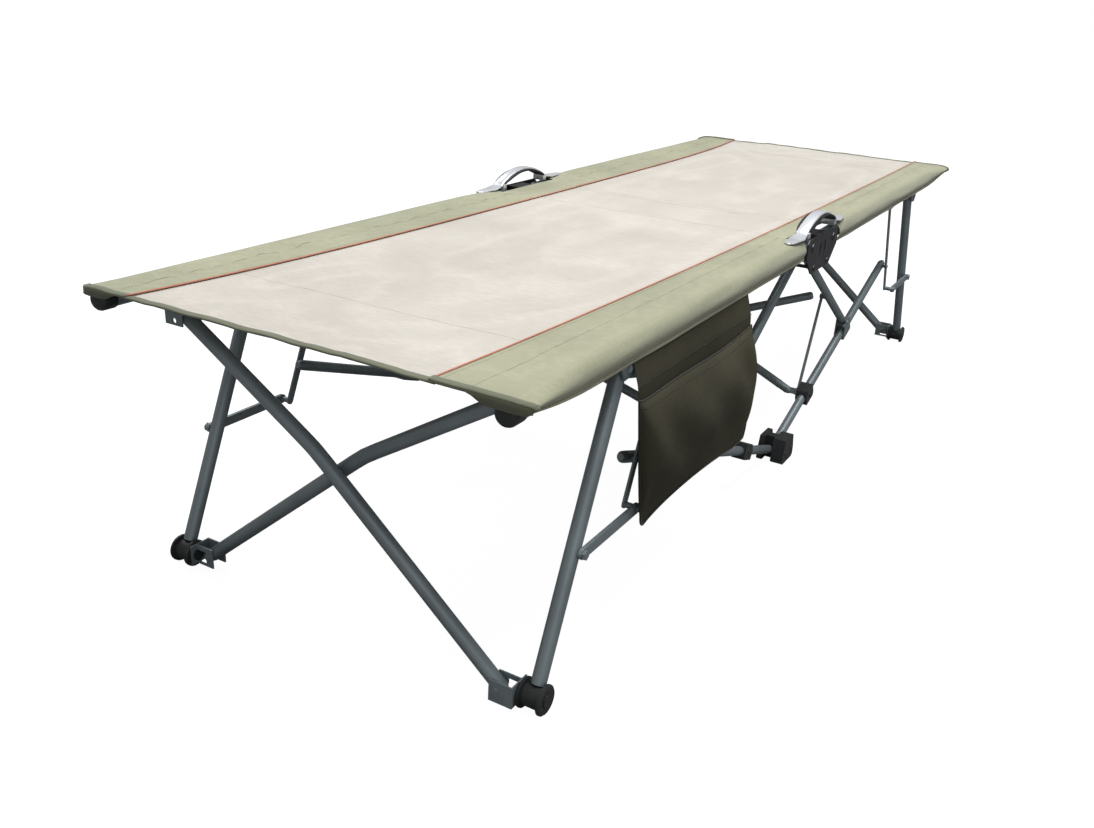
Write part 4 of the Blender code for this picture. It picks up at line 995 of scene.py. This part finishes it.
# Floor, light and camera
WHITE = (1.0, 1.0, 1.0, 1.0)
WORLD_LIGHT = 0.32             # strength of the surroundings' light on the bed
FLOOR_GREY = (0.17, 0.17, 0.17, 1.0)
FLOOR_GLOW = 0.95              # whiteness that the camera sees on the floor
LAMPS = (                      # name, place, target, size, power
    ("key", (0.1, -0.5, 3.8), (0.1, 0.0, 0.3), (3.4, 2.0), 190.0),
    ("fill", (-2.8, -2.2, 1.5), (0.0, 0.0, 0.3), (2.4, 2.4), 13.0),
    ("back", (0.9, 3.2, 2.8), (0.2, 0.0, 0.3), (3.0, 2.0), 45.0),
)
CAMERA_LENS = 34.245           # millimetres, on a sensor 36 millimetres wide
CAMERA_SENSOR = 36.0
CAMERA_PLACE = (-1.718, -0.7751 + MIDDLE_Y, 0.7853)
CAMERA_RIGHT = (0.51269, -0.85722, 0.04821)
CAMERA_UP = (0.30732, 0.23566, 0.92197)


def area_lamp(name, place, target, size, power):
    """Soft rectangular lamp aimed at a point."""
    data = bpy.data.lights.new(name, "AREA")
    data.shape = "RECTANGLE"
    data.size, data.size_y = size
    data.energy = power
    lamp = new_object(name, data)
    lamp.location = place
    lamp.rotation_euler = (Vector(target) - Vector(place)).to_track_quat("-Z", "Y").to_euler()


def surroundings():
    """White to the camera, and a softer white light on the bed."""
    world = bpy.data.worlds.new("studio")
    bpy.context.scene.world = world
    world.use_nodes = True
    tree = world.node_tree
    light = tree.nodes["Background"]
    set_inputs(light, {"Color": WHITE, "Strength": WORLD_LIGHT})
    white = add(tree, "ShaderNodeBackground")
    set_inputs(white, {"Color": WHITE, "Strength": 1.0})
    path = add(tree, "ShaderNodeLightPath")
    mix = add(tree, "ShaderNodeMixShader")
    tree.links.new(combine(tree, path.outputs["Is Camera Ray"],
                           path.outputs["Is Transmission Ray"], "MAXIMUM"), mix.inputs[0])
    tree.links.new(light.outputs[0], mix.inputs[1])
    tree.links.new(white.outputs[0], mix.inputs[2])
    tree.links.new(mix.outputs[0], tree.nodes["World Output"].inputs["Surface"])


def floor():
    """White floor that keeps the shadow."""
    surface, tree, shader = new_material("white_floor")
    set_inputs(shader, {"Base Color": FLOOR_GREY, "Roughness": 0.9, "Specular IOR Level": 0.1})
    path = add(tree, "ShaderNodeLightPath")
    dark, glow = add(tree, "ShaderNodeEmission"), add(tree, "ShaderNodeEmission")
    set_inputs(dark, {"Strength": 0.0})
    set_inputs(glow, {"Strength": FLOOR_GLOW})
    seen, total = add(tree, "ShaderNodeMixShader"), add(tree, "ShaderNodeAddShader")
    tree.links.new(path.outputs["Is Camera Ray"], seen.inputs[0])
    tree.links.new(dark.outputs[0], seen.inputs[1])
    tree.links.new(glow.outputs[0], seen.inputs[2])
    tree.links.new(shader.outputs[0], total.inputs[0])
    tree.links.new(seen.outputs[0], total.inputs[1])
    tree.links.new(total.outputs[0], tree.nodes["Material Output"].inputs["Surface"])
    bm = bmesh.new()
    bmesh.ops.create_grid(bm, x_segments=4, y_segments=4, size=40.0)
    make_object("floor", bm, surface)


def camera():
    """Camera at the photograph's place, fitted to the bed's corners."""
    data = bpy.data.cameras.new("camera")
    data.sensor_width = CAMERA_SENSOR
    data.sensor_fit = "HORIZONTAL"
    data.lens = CAMERA_LENS
    thing = new_object("camera", data)
    right, up = Vector(CAMERA_RIGHT), Vector(CAMERA_UP)
    back = right.cross(up).normalized()
    up = back.cross(right).normalized()
    right.normalize()
    turn = Matrix((right, up, back)).transposed().to_4x4()
    thing.matrix_world = Matrix.Translation(CAMERA_PLACE) @ turn
    bpy.context.scene.camera = thing


# Build
for end, end_name in ENDS:
    bed_half(end, end_name)
fold_strip()
side_pocket()
for side, side_name in SIDES:
    carry_handle(side, side_name)
for side, side_name in SIDES:
    for end, end_name in ENDS:
        rail_plug(side, end, f"{side_name}_{end_name}")
dress_frame()

for name in ("Cube", "Light", "Camera"):
    if name in bpy.data.objects:
        bpy.data.objects.remove(bpy.data.objects[name], do_unlink=True)
surroundings()
floor()
for lamp in LAMPS:
    area_lamp(*lamp)
camera()
bpy.context.scene.view_settings.view_transform = "Standard"
